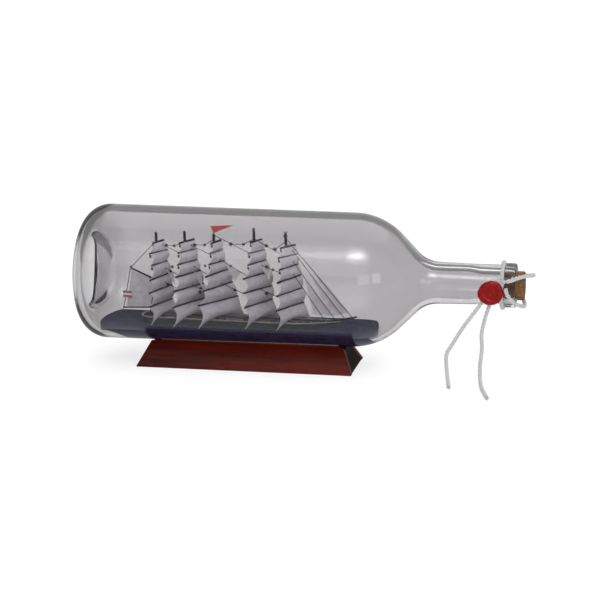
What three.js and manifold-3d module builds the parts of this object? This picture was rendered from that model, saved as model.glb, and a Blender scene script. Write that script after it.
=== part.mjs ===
// A five-masted full-rigged ship in a corked glass bottle, lying on a small four-board wooden stand.
// Millimetres, +Z up, +X along the bottle towards its neck and the ship's bow.
// The origin is on the table under the middle of the bottle's and cork's overall length.
import * as THREE from "three";
import { mergeVertices } from "three/addons/utils/BufferGeometryUtils.js";
import Module from "manifold-3d";

const wasm = await Module();
wasm.setup();

// ---------------------------------------------------------------- driving dimensions

const GAP = 0.3; // between pieces that touch
const ROUND_SEGMENTS = 32; // round the bottle, the cork and the sea

const BOTTLE = {
  bodyRadius: 50.3, // just above the heel
  taper: 0.8, // how much smaller the body's radius is where the shoulder starts
  heelRadius: 20,
  puntRadius: 27,
  puntDepth: 20,
  wall: 3,
  baseThickness: 5,
  shoulderX: 205, // where the shoulder starts, from the base
  shoulderRadius: 50, // convex arc of the shoulder
  throatRadius: 22, // concave arc between the shoulder and the neck
  neckRootRadius: 15.4,
  neckRadius: 14.9,
  neckWall: 4,
  neckTaper: 22, // length over which the neck narrows to neckRadius
  lipRadius: 16.2,
  lipWidth: 7.8, // length of the ring at the mouth
  lipRound: 1.4,
  boreRadius: 10.2, // at the mouth
  boreLength: 26,
  boreTaper: 8, // length over which the bore widens to the inside of the neck
  length: 325.5,
};

const CORK = { depth: 9, stickOut: 6, swell: 0.7, chamfer: 0.8 };

const STAND = {
  height: 17.8,
  bottomWidth: 59,
  topWidth: 29,
  bottomLength: 162.4,
  topLength: 144.6,
  board: 5, // thickness of the four boards
  bottomStartX: 46.2, // from the bottle's base to the stand's left end
  endInset: 0.4, // the end boards stand back from the long boards' ends
  endHeight: 15.4,
};

const CORD = { diameter: 3, sides: 8 };
const SEAL = {
  radius: 9,
  thickness: 2.6,
  lugRadius: 2.9,
  fromMouth: 17.1, // its middle, along the neck
  z: -2.1,
};

const SEA = {
  level: -36.8, // measured from the bottle's axis
  startX: 11,
  endX: 224,
  endRound: 34, // length of each rounded end
  waveX: 201,
  waveY: 15.5, // the wave's crest, to each side of the bow
  waveLength: 52,
  waveWidth: 17,
  nearWaveHeight: 7.2,
  farWaveHeight: 2.2,
};

// Every height on the ship, from here to the ensign, is measured from the surface of the sea, and
// every x from the bottle's base.

const HULL = {
  sternX: 44.5,
  bowX: 196.5,
  beam: 19,
  sternRound: 9,
  bowLength: 42,
  bulwark: 1.1, // thickness
  top: 4,
  draught: 0.7, // how far the hull is set into the sea
  floor: 1,
  deckTop: 2.3,
};

const HOUSES = {
  deck_house_aft: { x: 67.5, length: 11, width: 6, height: 2.2 },
  deck_house_mid: { x: 116.5, length: 15, width: 6.4, height: 2.6 },
};

const RIG = {
  rake: 2.2, // degrees, mast tops lean aft
  mastRadius: 1.0,
  mastTipRadius: 0.55,
  yardRadius: 0.5,
  sailThickness: 0.4,
  sailInset: 1.2, // each end of a sail stops short of its yard's end
  bulge: 0.48, // greatest belly, as a share of the sail's height
  roach: 1.2, // how far the foot is arched up in the middle
};

// One entry for each mast, from stern to bow: place on deck and height of its top, and, from the royal
// yard down to the course yard, the yards' heights, lengths and angles from square in degrees.
const MASTS = [
  {
    x: 58.3,
    top: 67.4,
    heights: [60.2, 52.6, 43.7, 33.6, 24.1, 13.6],
    lengths: [13, 20, 22, 30, 33, 32],
    braces: [24, 30, 19, 17, 18, 18],
  },
  {
    x: 80.2,
    top: 69,
    heights: [61.2, 53.9, 45.5, 36.5, 26.2, 14.7],
    lengths: [19, 22, 23, 30, 36, 39],
    braces: [23, 26, 27, 26, 25, 27],
  },
  {
    x: 102.4,
    top: 67.8,
    heights: [61.5, 54.2, 45.9, 38, 27.6, 16.8],
    lengths: [15, 18, 21, 33, 38, 42],
    braces: [16, 19, 22, 20, 23, 33],
  },
  {
    x: 133,
    top: 72.8,
    heights: [63.2, 55.2, 47, 37.6, 26.7, 16],
    lengths: [16, 20, 25, 33, 34, 34],
    braces: [20, 26, 22, 28, 28, 27],
  },
  {
    x: 156.9,
    top: 70.1,
    heights: [59.9, 52.8, 44.5, 35.5, 25.6, 14.6],
    lengths: [17, 22, 25, 33, 34, 34],
    braces: [30, 32, 24, 22, 24, 27],
  },
];
const SAIL_NAMES = ["royal", "topgallant", "upper_topsail", "lower_topsail", "upper_course", "course"];

// The course sails hang free below the lowest yards: heights of the foot, and how much wider and
// further forward than the yard its corners hang.
const COURSE = { middle: 6.3, corner: 1.1, flare: 4.6, forward: 3.6, bulge: 0.34 };

const SPANKER = {
  gaffRoot: 30.3, // height
  gaffPeak: [35.5, 39.7], // [x, height]
  boomRoot: 8.3,
  boomEnd: [29.5, 6.3],
  sparRadius: 0.5,
  thickness: 0.4,
};

const BOWSPRIT = { root: [186.5, 3.6], tip: [208.2, 7.3], radius: 0.8 };

// Each jib hangs on a stay from [x, height] aloft to [x, height] at the bowsprit, between two shares
// of the stay's length, and clew is its free corner.
const JIBS = [
  { head: [157.3, 52.8], foot: [192.0, 6.2], from: 0.4, to: 0.95, clew: [175.6, 9.3] },
  { head: [158.5, 58.5], foot: [199.2, 7.1], from: 0.33, to: 0.95, clew: [187.6, 13.1] },
  { head: [153.1, 69.1], foot: [205.0, 8.3], from: 0.33, to: 0.95, clew: [194.4, 15.7] },
];
const JIB_THICKNESS = 0.4;

// The pennant is a triangle glued to the tip of the middle mast.
const PENNANT = { mast: 2, upper: [97.3, 73.2], tip: [115.3, 74.3], thickness: 0.4 };
const ENSIGN = { x: 33.6, z: 19.6, length: 6.6, width: 5, thickness: 0.4, side: -1.6 };

// Routes of the two free cord ends, from under the seal down to the table. Each point is [x from the
// mouth of the bottle, y, height], with heights from the bottle's axis while the cord hangs, and from
// the table where it nears it and lies on it.
const TAIL_SHORT = {
  hanging: [
    [-21.3, -17.0, -5.9],
    [-24.7, -17.3, -11.7],
    [-35.5, -23.0, -26.7],
    [-43.2, -30.0, -39.2],
    [-46.5, -35.5, -45.8],
  ],
  lying: [
    [-45.1, -44.0, 10.6],
    [-43.2, -51.0, 3.4],
    [-42.3, -55.0, 1.9],
  ],
};
const TAIL_LONG = {
  hanging: [
    [-17.3, -16.9, -7.7],
    [-18.1, -17.3, -12.3],
    [-20.5, -21.5, -20.7],
    [-22.1, -28.5, -30.9],
    [-21.1, -34.0, -40.3],
  ],
  lying: [
    [-21.6, -40.5, 14.9],
    [-20.9, -46.0, 6.6],
    [-19.3, -52.5, 2.3],
    [-16.1, -65.0, 1.7],
    [-12.5, -80.0, 1.7],
  ],
};

// The strands that tie the cork down, from the knot on the near side over the cork to the far side
// and back: [x from the mouth, y, height from the bottle's axis].
const CORK_TIE = [
  [-6.2, -17.5, 5.9],
  [-2.7, -17.2, 7.0],
  [3.1, -12.8, 8.6],
  [9.7, -5.0, 8.9],
  [12.1, 0.6, 8.0],
  [9.1, 7.6, 6.2],
  [2.5, 15.0, 4.8],
  [-3.5, 18.2, 3.0],
  [-6.1, 18.4, 0.2],
  [-2.5, 17.6, -4.6],
  [3.1, 12.2, -10.6],
  [6.1, 1.0, -14.6],
  [4.1, -8.4, -13.2],
  [-1.3, -15.8, -8.8],
  [-5.5, -18.0, -2.6],
  [-6.2, -18.1, 1.4],
];
const KNOT = { radius: 2.3, squash: 0.85, angle: 17 }; // angle is degrees above the near side

// ---------------------------------------------------------------- values that follow

const axisHeight =
  STAND.height + Math.sqrt(BOTTLE.bodyRadius ** 2 - (STAND.topWidth / 2) ** 2) + GAP;
const cordRadius = CORD.diameter / 2;
const overallLength = BOTTLE.length + Math.max(...CORK_TIE.map((p) => p[0])) + cordRadius;
const neckLoopX = BOTTLE.length - BOTTLE.lipWidth - GAP - cordRadius;
const neckLoopRadius = BOTTLE.neckRadius + GAP + cordRadius;
const sealUnderside = BOTTLE.neckRadius + CORD.diameter + 2 * GAP + 0.4;
const radians = THREE.MathUtils.degToRad;

// ---------------------------------------------------------------- geometry helpers

function solidOf(geometry) {
  const bare = geometry.clone();
  bare.deleteAttribute("normal");
  bare.deleteAttribute("uv");
  const merged = mergeVertices(bare, 1e-4);
  return new wasm.Manifold(
    new wasm.Mesh({
      numProp: 3,
      vertProperties: new Float32Array(merged.attributes.position.array),
      triVerts: new Uint32Array(merged.index.array),
    }),
  );
}

function geometryOf(solid) {
  const mesh = solid.getMesh();
  const geometry = new THREE.BufferGeometry();
  geometry.setAttribute("position", new THREE.BufferAttribute(mesh.vertProperties, 3));
  geometry.setIndex(new THREE.BufferAttribute(mesh.triVerts, 1));
  const flat = geometry.toNonIndexed();
  flat.computeVertexNormals();
  return flat;
}

const union = (first, ...others) => others.reduce((sum, next) => sum.add(solidOf(next)), solidOf(first));

// Points of a circular arc from angle a0 to a1, in degrees.
function arc(centreX, centreY, radius, a0, a1, steps) {
  return Array.from({ length: steps + 1 }, (_, i) => {
    const a = radians(a0 + ((a1 - a0) * i) / steps);
    return new THREE.Vector2(centreX + radius * Math.cos(a), centreY + radius * Math.sin(a));
  });
}

// A solid of revolution about the X axis: the profile's points are (radius, x).
function turned(profile, segments = ROUND_SEGMENTS) {
  return new THREE.LatheGeometry(profile, segments).rotateZ(-Math.PI / 2);
}

function prism(points, depth) {
  const shape = new THREE.Shape(points.map(([x, y]) => new THREE.Vector2(x, y)));
  return new THREE.ExtrudeGeometry(shape, { depth, bevelEnabled: false });
}

// A plate whose outline is given in x and z, centred on y.
function uprightPlate(points, thickness, y = 0) {
  return prism(points, thickness)
    .translate(0, 0, -thickness / 2)
    .rotateX(Math.PI / 2)
    .translate(0, y, 0);
}

// A slightly tapered rod between two points.
function rod(from, to, radiusFrom, radiusTo, sides = 8) {
  const a = new THREE.Vector3(...from);
  const b = new THREE.Vector3(...to);
  const along = b.clone().sub(a);
  const turn = new THREE.Quaternion().setFromUnitVectors(
    new THREE.Vector3(0, 1, 0),
    along.clone().normalize(),
  );
  return new THREE.CylinderGeometry(radiusTo, radiusFrom, along.length(), sides)
    .applyQuaternion(turn)
    .translate(...a.add(b).multiplyScalar(0.5).toArray());
}

// A cord as a round section swept along a smooth curve through the points.
function cord(points, steps) {
  const section = new THREE.Shape(arc(0, 0, cordRadius, 0, 360 - 360 / CORD.sides, CORD.sides - 1));
  const extrudePath = new THREE.CatmullRomCurve3(points.map((p) => new THREE.Vector3(...p)), false, "centripetal");
  return new THREE.ExtrudeGeometry(section, { steps, bevelEnabled: false, extrudePath });
}

// ---------------------------------------------------------------- bottle and cork

function shoulderPoints() {
  const B = BOTTLE;
  const shoulderCentre = B.bodyRadius - B.taper - B.shoulderRadius;
  const outer = arc(shoulderCentre, B.shoulderX, B.shoulderRadius, 0, 45, 6);
  const throatCentre = B.neckRootRadius + B.throatRadius;
  // The 45 degree flank runs from the end of the shoulder's arc to the start of the throat's arc.
  const flankEnd = throatCentre - B.throatRadius * Math.SQRT1_2;
  const throatX = outer.at(-1).y + outer.at(-1).x - flankEnd + B.throatRadius * Math.SQRT1_2;
  return { outer, shoulderCentre, throatCentre, throatX };
}

function bottleOuter() {
  const { outer, throatCentre, throatX } = shoulderPoints();
  const B = BOTTLE;
  const lipStart = B.length - B.lipWidth;
  return [
    ...arc(0, 0, 1, 90, 0, 5).map((p) => new THREE.Vector2(p.x * B.puntRadius, p.y * B.puntDepth)),
    ...arc(B.bodyRadius - B.heelRadius, B.heelRadius, B.heelRadius, -90, 0, 5),
    ...outer,
    ...arc(throatCentre, throatX, B.throatRadius, 225, 180, 4),
    new THREE.Vector2(B.neckRadius, throatX + B.neckTaper),
    new THREE.Vector2(B.neckRadius, lipStart),
    new THREE.Vector2(B.lipRadius, lipStart + B.lipRound / 2),
    ...arc(B.lipRadius - B.lipRound, B.length - B.lipRound, B.lipRound, 0, 90, 2),
  ];
}

// The inside of the bottle from the mouth down to the punt, drawn in all round by clearance.
function bottleInner(clearance = 0) {
  const { throatCentre, throatX, shoulderCentre } = shoulderPoints();
  const B = BOTTLE;
  const neckInner = B.neckRootRadius - B.neckWall - clearance;
  const heelCentre = B.bodyRadius - B.heelRadius;
  const heelInner = B.heelRadius - B.wall - clearance;
  const floor = B.baseThickness + clearance;
  const points = [
    new THREE.Vector2(B.boreRadius - clearance, B.length),
    new THREE.Vector2(B.boreRadius - clearance, B.length - B.boreLength),
    new THREE.Vector2(neckInner, B.length - B.boreLength - B.boreTaper),
    ...arc(throatCentre, throatX, throatCentre - neckInner, 180, 225, 4),
    ...arc(shoulderCentre, B.shoulderX, B.shoulderRadius - B.wall - clearance, 45, 0, 6),
    ...arc(heelCentre, floor + heelInner, heelInner, 0, -90, 5),
    ...arc(0, 0, 1, 0, 90, 5)
      .slice(1)
      .map((p) => new THREE.Vector2(p.x * heelCentre, floor + p.y * B.puntDepth)),
  ];
  points.at(-1).x = 0;
  return points;
}

function bottleGeometry() {
  const outer = bottleOuter();
  outer[0].x = 0;
  return turned([...outer, ...bottleInner()]);
}

function corkGeometry() {
  const B = BOTTLE;
  const inBore = B.boreRadius - GAP;
  const outside = B.boreRadius + CORK.swell - GAP;
  const mouth = B.length + GAP;
  const end = B.length + CORK.stickOut;
  return turned(
    [
      [0, B.length - CORK.depth],
      [inBore - CORK.chamfer, B.length - CORK.depth],
      [inBore, B.length - CORK.depth + CORK.chamfer],
      [inBore, mouth],
      [outside, mouth + CORK.swell],
      [outside, end - CORK.chamfer],
      [outside - CORK.chamfer, end],
      [0, end],
    ].map(([r, x]) => new THREE.Vector2(r, x)),
    24,
  );
}

// ---------------------------------------------------------------- seal and cords

function sealGeometry() {
  const S = SEAL;
  const rim = S.thickness * 0.45;
  // Turned about the axis that points out from the neck: radius against distance from the bottle's axis.
  const profile = [
    [0, BOTTLE.neckRadius + GAP + 0.1],
    [S.lugRadius, BOTTLE.neckRadius + GAP + 0.1],
    [S.lugRadius, sealUnderside],
    [S.radius - rim, sealUnderside],
    [S.radius, sealUnderside + rim],
    [S.radius - rim, sealUnderside + S.thickness],
    [S.radius * 0.62, sealUnderside + S.thickness],
    [S.radius * 0.56, sealUnderside + S.thickness - 0.5],
    [0, sealUnderside + S.thickness - 0.5],
  ].map(([r, h]) => new THREE.Vector2(r, h));
  return new THREE.LatheGeometry(profile, 20).rotateX(Math.PI).translate(BOTTLE.length - S.fromMouth, 0, S.z);
}

function neckLoopGeometry() {
  const ring = new THREE.TorusGeometry(neckLoopRadius, cordRadius, CORD.sides, 28)
    .rotateY(Math.PI / 2)
    .translate(neckLoopX, 0, 0);
  const up = radians(KNOT.angle);
  const reach = neckLoopRadius + 0.6;
  const knot = new THREE.SphereGeometry(KNOT.radius, 10, 6)
    .scale(1, KNOT.squash, 1)
    .translate(neckLoopX, -reach * Math.cos(up), reach * Math.sin(up));
  return geometryOf(union(ring, knot));
}

// ---------------------------------------------------------------- stand

// The outline of the stand seen from the front, leaning in at both ends.
function standOutline(inset, shift = 0) {
  const low = STAND.bottomLength / 2 - inset;
  const high = STAND.topLength / 2 - inset;
  return [
    [-low + shift, 0],
    [low + shift, 0],
    [high + shift, STAND.height],
    [-high + shift, STAND.height],
  ];
}

// Half widths of the stand's outer and inner faces at height z.
function standHalfWidth(z, inner = false) {
  const lean = (STAND.bottomWidth - STAND.topWidth) / 2 / STAND.height;
  const across = inner ? STAND.board * Math.sqrt(1 + lean ** 2) : 0;
  return STAND.bottomWidth / 2 - lean * z - across;
}

function longBoardGeometry(side) {
  const lean = Math.atan2((STAND.bottomWidth - STAND.topWidth) / 2, STAND.height);
  const topInner = [
    STAND.topWidth / 2 - STAND.board * Math.cos(lean),
    STAND.height - STAND.board * Math.sin(lean),
  ];
  // The section's points are [distance from the middle, height]; its top edge is cut square.
  const section = [
    [standHalfWidth(0), 0],
    [STAND.topWidth / 2, STAND.height],
    topInner,
    [standHalfWidth(0, true), 0],
  ];
  const length = STAND.bottomLength * 1.1;
  const bar = prism(section.map(([y, z]) => [side * y, z]), length)
    .rotateX(Math.PI / 2)
    .rotateZ(Math.PI / 2)
    .translate(-length / 2, 0, 0);
  const ends = uprightPlate(standOutline(0), STAND.bottomWidth * 2);
  return geometryOf(solidOf(bar).intersect(solidOf(ends)));
}

function endBoardGeometry(side) {
  const z = STAND.endHeight;
  const low = standHalfWidth(0, true) - GAP;
  const high = standHalfWidth(z, true) - GAP;
  const length = STAND.bottomLength * 1.1;
  const bar = prism([[-low, 0], [low, 0], [high, z], [-high, z]], length)
    .rotateX(Math.PI / 2)
    .rotateZ(Math.PI / 2)
    .translate(-length / 2, 0, 0);
  const [, outerLow, outerHigh] = standOutline(STAND.endInset);
  const run = STAND.board * Math.hypot(1, (outerLow[0] - outerHigh[0]) / STAND.height);
  const lean = [
    [outerLow[0] - run, 0],
    [outerLow[0], 0],
    [outerHigh[0], STAND.height],
    [outerHigh[0] - run, STAND.height],
  ];
  const slab = uprightPlate(lean.map(([x, h]) => [side * x, h]), STAND.bottomWidth * 2);
  return geometryOf(solidOf(bar).intersect(solidOf(slab)));
}

// ---------------------------------------------------------------- sea, hull and deck

// The plan of the sea: straight sides and half-oval ends.
function seaPlan() {
  const half = BOTTLE.bodyRadius;
  const ends = (x, a0, a1) =>
    arc(0, 0, 1, a0, a1, 6).map((p) => [x + p.x * SEA.endRound, p.y * half]);
  return [...ends(SEA.endX - SEA.endRound, -90, 90), ...ends(SEA.startX + SEA.endRound, 90, 270)];
}

// The plan of the hull, grown all round by clearance.
function hullPlan(clearance = 0) {
  const half = HULL.beam / 2 + clearance;
  const bowStart = HULL.bowX - HULL.bowLength;
  const bow = [0, 0.25, 0.5, 0.75, 0.92].map((t) => [
    bowStart + t * (HULL.bowLength + clearance),
    half * (1 - t ** 2.2),
  ]);
  const stern = arc(0, 0, 1, 90, 270, 8).map((p) => [
    HULL.sternX + HULL.sternRound + p.x * (HULL.sternRound + clearance),
    p.y * half,
  ]);
  const tip = [HULL.bowX + clearance * 1.6, 0];
  return [tip, ...bow.slice().reverse(), ...stern, ...bow.map(([x, y]) => [x, -y])];
}

const hullPrism = (clearance, bottom, top) =>
  prism(hullPlan(clearance), top - bottom).translate(0, 0, bottom);

function seaGeometry() {
  const deep = -BOTTLE.bodyRadius;
  const inside = solidOf(turned([...bottleInner(GAP).reverse(), new THREE.Vector2(0, BOTTLE.length)]));
  const slab = solidOf(prism(seaPlan(), SEA.level - deep).translate(0, 0, deep));
  const wave = (side, height) =>
    new THREE.SphereGeometry(1, 16, 10)
      .scale(SEA.waveLength / 2, SEA.waveWidth / 2, height)
      .translate(SEA.waveX, side * SEA.waveY, SEA.level);
  const water = slab
    .add(solidOf(wave(-1, SEA.nearWaveHeight)))
    .add(solidOf(wave(1, SEA.farWaveHeight)));
  const seat = hullPrism(1.5 * GAP, -HULL.draught, HULL.top + SEA.nearWaveHeight).translate(0, 0, SEA.level);
  return geometryOf(water.intersect(inside).subtract(solidOf(seat)));
}

function hullGeometry() {
  const body = hullPrism(0, GAP - HULL.draught, HULL.top);
  const well = hullPrism(-HULL.bulwark, HULL.floor, HULL.top + 1);
  return geometryOf(solidOf(body).subtract(solidOf(well)));
}

const deckGeometry = () => hullPrism(-HULL.bulwark - 1.5 * GAP, HULL.floor + GAP, HULL.deckTop);

function houseGeometry({ x, length, width, height }) {
  const bottom = HULL.deckTop + GAP;
  return new THREE.BoxGeometry(length, width, height).translate(x, 0, bottom + height / 2);
}

// ---------------------------------------------------------------- masts and sails

// In a mast's own frame x and y are 0 on its centre line.
const mastRadiusAt = (mast, z) => {
  const foot = HULL.deckTop + GAP;
  return THREE.MathUtils.lerp(RIG.mastRadius, RIG.mastTipRadius, (z - foot) / (mast.top - foot));
};

// A point across along a yard braced by brace degrees, forward of the mast's axis and at height z.
function rigPoint(brace, across, forward, z) {
  const a = radians(brace);
  return new THREE.Vector3(
    across * Math.sin(a) + forward * Math.cos(a),
    across * Math.cos(a) - forward * Math.sin(a),
    z,
  );
}

function mastGeometry(mast) {
  const foot = HULL.deckTop + GAP;
  const pole = rod([0, 0, foot], [0, 0, mast.top], RIG.mastRadius, RIG.mastTipRadius);
  const yards = mast.heights.map((z, i) => {
    const forward = mastRadiusAt(mast, z) + RIG.yardRadius * 0.4;
    const half = mast.lengths[i] / 2;
    const [from, to] = [-half, half].map((across) => rigPoint(mast.braces[i], across, forward, z));
    return rod(from.toArray(), to.toArray(), RIG.yardRadius, RIG.yardRadius, 6);
  });
  return geometryOf(union(pole, ...yards));
}

// A square sail below yard number index: a thin sheet that bellies forward, with its foot arched up
// in the middle. Its lower corners meet the next yard, or hang free below the last one.
function sailGeometry(mast, index) {
  const { lerp } = THREE.MathUtils;
  const last = index === mast.heights.length - 1;
  const next = last ? index : index + 1;
  const head = mast.heights[index] - RIG.yardRadius - GAP;
  const foot = last ? COURSE.corner : mast.heights[next] + RIG.yardRadius + GAP;
  const roach = last ? COURSE.middle - COURSE.corner : RIG.roach;
  const bulge = (last ? COURSE.bulge : RIG.bulge) * (head - foot);
  const topHalf = mast.lengths[index] / 2 - RIG.sailInset;
  const footHalf = last ? topHalf + COURSE.flare : mast.lengths[next] / 2 - RIG.sailInset;
  const clear = mastRadiusAt(mast, foot) + GAP + RIG.sailThickness / 2;
  const surface = (u, v, offset) => {
    const belly = bulge * Math.sin(Math.PI * v) * (1 - 0.3 * u * u);
    const forward = clear + belly + (last ? COURSE.forward * v * v : 0) + offset;
    const z = lerp(head, foot, v) + roach * v * v * (1 - u * u);
    return rigPoint(lerp(mast.braces[index], mast.braces[next], v), u * lerp(topHalf, footHalf, v), forward, z);
  };
  return sheetSolid(4, 5, surface, RIG.sailThickness);
}

// A closed thin solid between the front and back of surface(u, v, offset), u from -1 to 1, v from 0 to 1.
function sheetSolid(columns, rows, surface, thickness) {
  const positions = [];
  for (const offset of [thickness / 2, -thickness / 2])
    for (let j = 0; j <= rows; j++)
      for (let i = 0; i <= columns; i++)
        positions.push(...surface((2 * i) / columns - 1, j / rows, offset).toArray());
  const layer = (columns + 1) * (rows + 1);
  const at = (i, j, back = 0) => j * (columns + 1) + i + back * layer;
  const faces = [];
  const quad = (a, b, c, d) => faces.push(a, b, c, a, c, d);
  for (let j = 0; j < rows; j++)
    for (let i = 0; i < columns; i++) {
      quad(at(i, j), at(i, j + 1), at(i + 1, j + 1), at(i + 1, j));
      quad(at(i, j, 1), at(i + 1, j, 1), at(i + 1, j + 1, 1), at(i, j + 1, 1));
    }
  for (let i = 0; i < columns; i++) {
    quad(at(i, 0), at(i + 1, 0), at(i + 1, 0, 1), at(i, 0, 1));
    quad(at(i, rows), at(i, rows, 1), at(i + 1, rows, 1), at(i + 1, rows));
  }
  for (let j = 0; j < rows; j++) {
    quad(at(0, j), at(0, j, 1), at(0, j + 1, 1), at(0, j + 1));
    quad(at(columns, j), at(columns, j + 1), at(columns, j + 1, 1), at(columns, j, 1));
  }
  const geometry = new THREE.BufferGeometry();
  geometry.setAttribute("position", new THREE.Float32BufferAttribute(positions, 3));
  geometry.setIndex(faces);
  const flat = geometry.toNonIndexed();
  flat.computeVertexNormals();
  return flat;
}

// ---------------------------------------------------------------- fore-and-aft rig and flags

// X of a raked mast's axis at height z.
const mastX = (mast, z) => mast.x - (z - HULL.deckTop) * Math.tan(radians(RIG.rake));

const mizzen = MASTS[0];
const behindMast = (z) => mastX(mizzen, z) - mastRadiusAt(mizzen, z) / Math.cos(radians(RIG.rake)) - GAP;
const spar = ([xFrom, zFrom], [xTo, zTo], radius) =>
  rod([xFrom, 0, zFrom], [xTo, 0, zTo], radius, radius * 0.8, 6);

const gaffRoot = [behindMast(SPANKER.gaffRoot) - 0.1, SPANKER.gaffRoot];
const boomRoot = [behindMast(SPANKER.boomRoot) - 0.1, SPANKER.boomRoot];

function spankerGeometry() {
  const clear = SPANKER.sparRadius + GAP + 0.2;
  const between = ([xa, za], [xb, zb], t) => [xa + (xb - xa) * t, za + (zb - za) * t];
  const throat = between(gaffRoot, SPANKER.gaffPeak, 0.08);
  const peak = between(gaffRoot, SPANKER.gaffPeak, 0.94);
  const clew = between(boomRoot, SPANKER.boomEnd, 0.9);
  const tack = between(boomRoot, SPANKER.boomEnd, 0.06);
  const outline = [
    [throat[0], throat[1] - clear],
    [peak[0], peak[1] - clear],
    [clew[0], clew[1] + clear],
    [tack[0], tack[1] + clear],
  ];
  return uprightPlate(outline, SPANKER.thickness);
}

function jibGeometry({ head, foot, from, to, clew }) {
  const onStay = (t) => [head[0] + (foot[0] - head[0]) * t, head[1] + (foot[1] - head[1]) * t];
  return uprightPlate([onStay(from), onStay(to), clew], JIB_THICKNESS);
}

function pennantGeometry() {
  const mast = MASTS[PENNANT.mast];
  const lower = [mastX(mast, mast.top), mast.top + GAP];
  return uprightPlate([lower, PENNANT.tip, PENNANT.upper], PENNANT.thickness);
}

const ensignGeometry = () =>
  new THREE.BoxGeometry(ENSIGN.length, ENSIGN.thickness, ENSIGN.width).translate(
    ENSIGN.x,
    ENSIGN.side,
    ENSIGN.z,
  );

// ---------------------------------------------------------------- the assembly

const finish = (color, roughness, metalness = 0) => ({ color, roughness, metalness });
const MATERIALS = {
  glass: { ...finish(0xd9e0dd, 0.03), transparent: true, opacity: 0.3 },
  cork: finish(0xb98a5a, 0.9),
  cotton: finish(0xf2efe8, 0.85),
  wax: finish(0xb3161f, 0.4),
  mahogany: finish(0x5e1c10, 0.3),
  sea: finish(0x323a5c, 0.5),
  bulwark: finish(0xc9c9cc, 0.6),
  deck: finish(0x4a3a34, 0.7),
  spar: finish(0x2b211d, 0.6),
  paper: finish(0xd8d6dc, 0.8),
  pennant: finish(0xcc2f26, 0.6),
  ensign: finish(0xe6e2de, 0.7),
};

function piece(name, geometry, material) {
  const mesh = new THREE.Mesh(geometry, new THREE.MeshStandardMaterial(MATERIALS[material]));
  mesh.name = name;
  return mesh;
}

function makeStand() {
  const stand = new THREE.Group();
  stand.position.x = STAND.bottomStartX + STAND.bottomLength / 2 - overallLength / 2;
  stand.add(
    piece("stand_front_board", longBoardGeometry(-1), "mahogany"),
    piece("stand_back_board", longBoardGeometry(1), "mahogany"),
    piece("stand_left_end_board", endBoardGeometry(-1), "mahogany"),
    piece("stand_right_end_board", endBoardGeometry(1), "mahogany"),
  );
  return stand;
}

const fromMouth = (points, heightOfZero = 0) =>
  points.map(([x, y, z]) => [BOTTLE.length + x, y, z + heightOfZero]);

// A free end hangs from the seal and comes to lie on the table.
const tailGeometry = ({ hanging, lying }, steps) =>
  cord([...fromMouth(hanging), ...fromMouth(lying, -axisHeight)], steps);

function makeBottle() {
  const bottle = new THREE.Group();
  bottle.add(
    piece("bottle", bottleGeometry(), "glass"),
    piece("cork", corkGeometry(), "cork"),
    piece("wax_seal", sealGeometry(), "wax"),
    piece("neck_loop", neckLoopGeometry(), "cotton"),
    piece("cork_tie", cord(fromMouth(CORK_TIE), 44), "cotton"),
    piece("cord_tail_short", tailGeometry(TAIL_SHORT, 24), "cotton"),
    piece("cord_tail_long", tailGeometry(TAIL_LONG, 32), "cotton"),
  );
  return bottle;
}

function makeShip() {
  const ship = new THREE.Group();
  ship.position.z = SEA.level;
  ship.add(
    piece("hull", hullGeometry(), "bulwark"),
    piece("deck", deckGeometry(), "deck"),
    piece("bowsprit", spar(BOWSPRIT.root, BOWSPRIT.tip, BOWSPRIT.radius), "spar"),
    piece("gaff", spar(gaffRoot, SPANKER.gaffPeak, SPANKER.sparRadius), "spar"),
    piece("boom", spar(boomRoot, SPANKER.boomEnd, SPANKER.sparRadius), "spar"),
    piece("spanker", spankerGeometry(), "paper"),
    piece("ensign", ensignGeometry(), "ensign"),
    piece("pennant", pennantGeometry(), "pennant"),
  );
  for (const [name, house] of Object.entries(HOUSES)) ship.add(piece(name, houseGeometry(house), "deck"));
  JIBS.forEach((jib, i) => ship.add(piece(`jib_${i + 1}`, jibGeometry(jib), "paper")));
  MASTS.forEach((mast, m) => {
    const rigged = new THREE.Group();
    // The mast leans aft about its foot on the deck.
    rigged.position.set(mast.x, 0, HULL.deckTop);
    rigged.rotation.y = -radians(RIG.rake);
    const upright = new THREE.Group();
    upright.position.z = -HULL.deckTop;
    rigged.add(upright);
    upright.add(piece(`mast_${m + 1}`, mastGeometry(mast), "spar"));
    SAIL_NAMES.forEach((sail, i) =>
      upright.add(piece(`mast_${m + 1}_${sail}`, sailGeometry(mast, i), "paper")),
    );
    ship.add(rigged);
  });
  return ship;
}

const shipInBottle = new THREE.Group();
const lying = new THREE.Group();
lying.position.set(-overallLength / 2, 0, axisHeight);
lying.add(makeBottle(), piece("sea", seaGeometry(), "sea"), makeShip());
shipInBottle.add(makeStand(), lying);

export default shipInBottle;
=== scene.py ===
"""A five-masted paper ship in a corked glass bottle, lying on a small mahogany stand."""
import math

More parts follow.
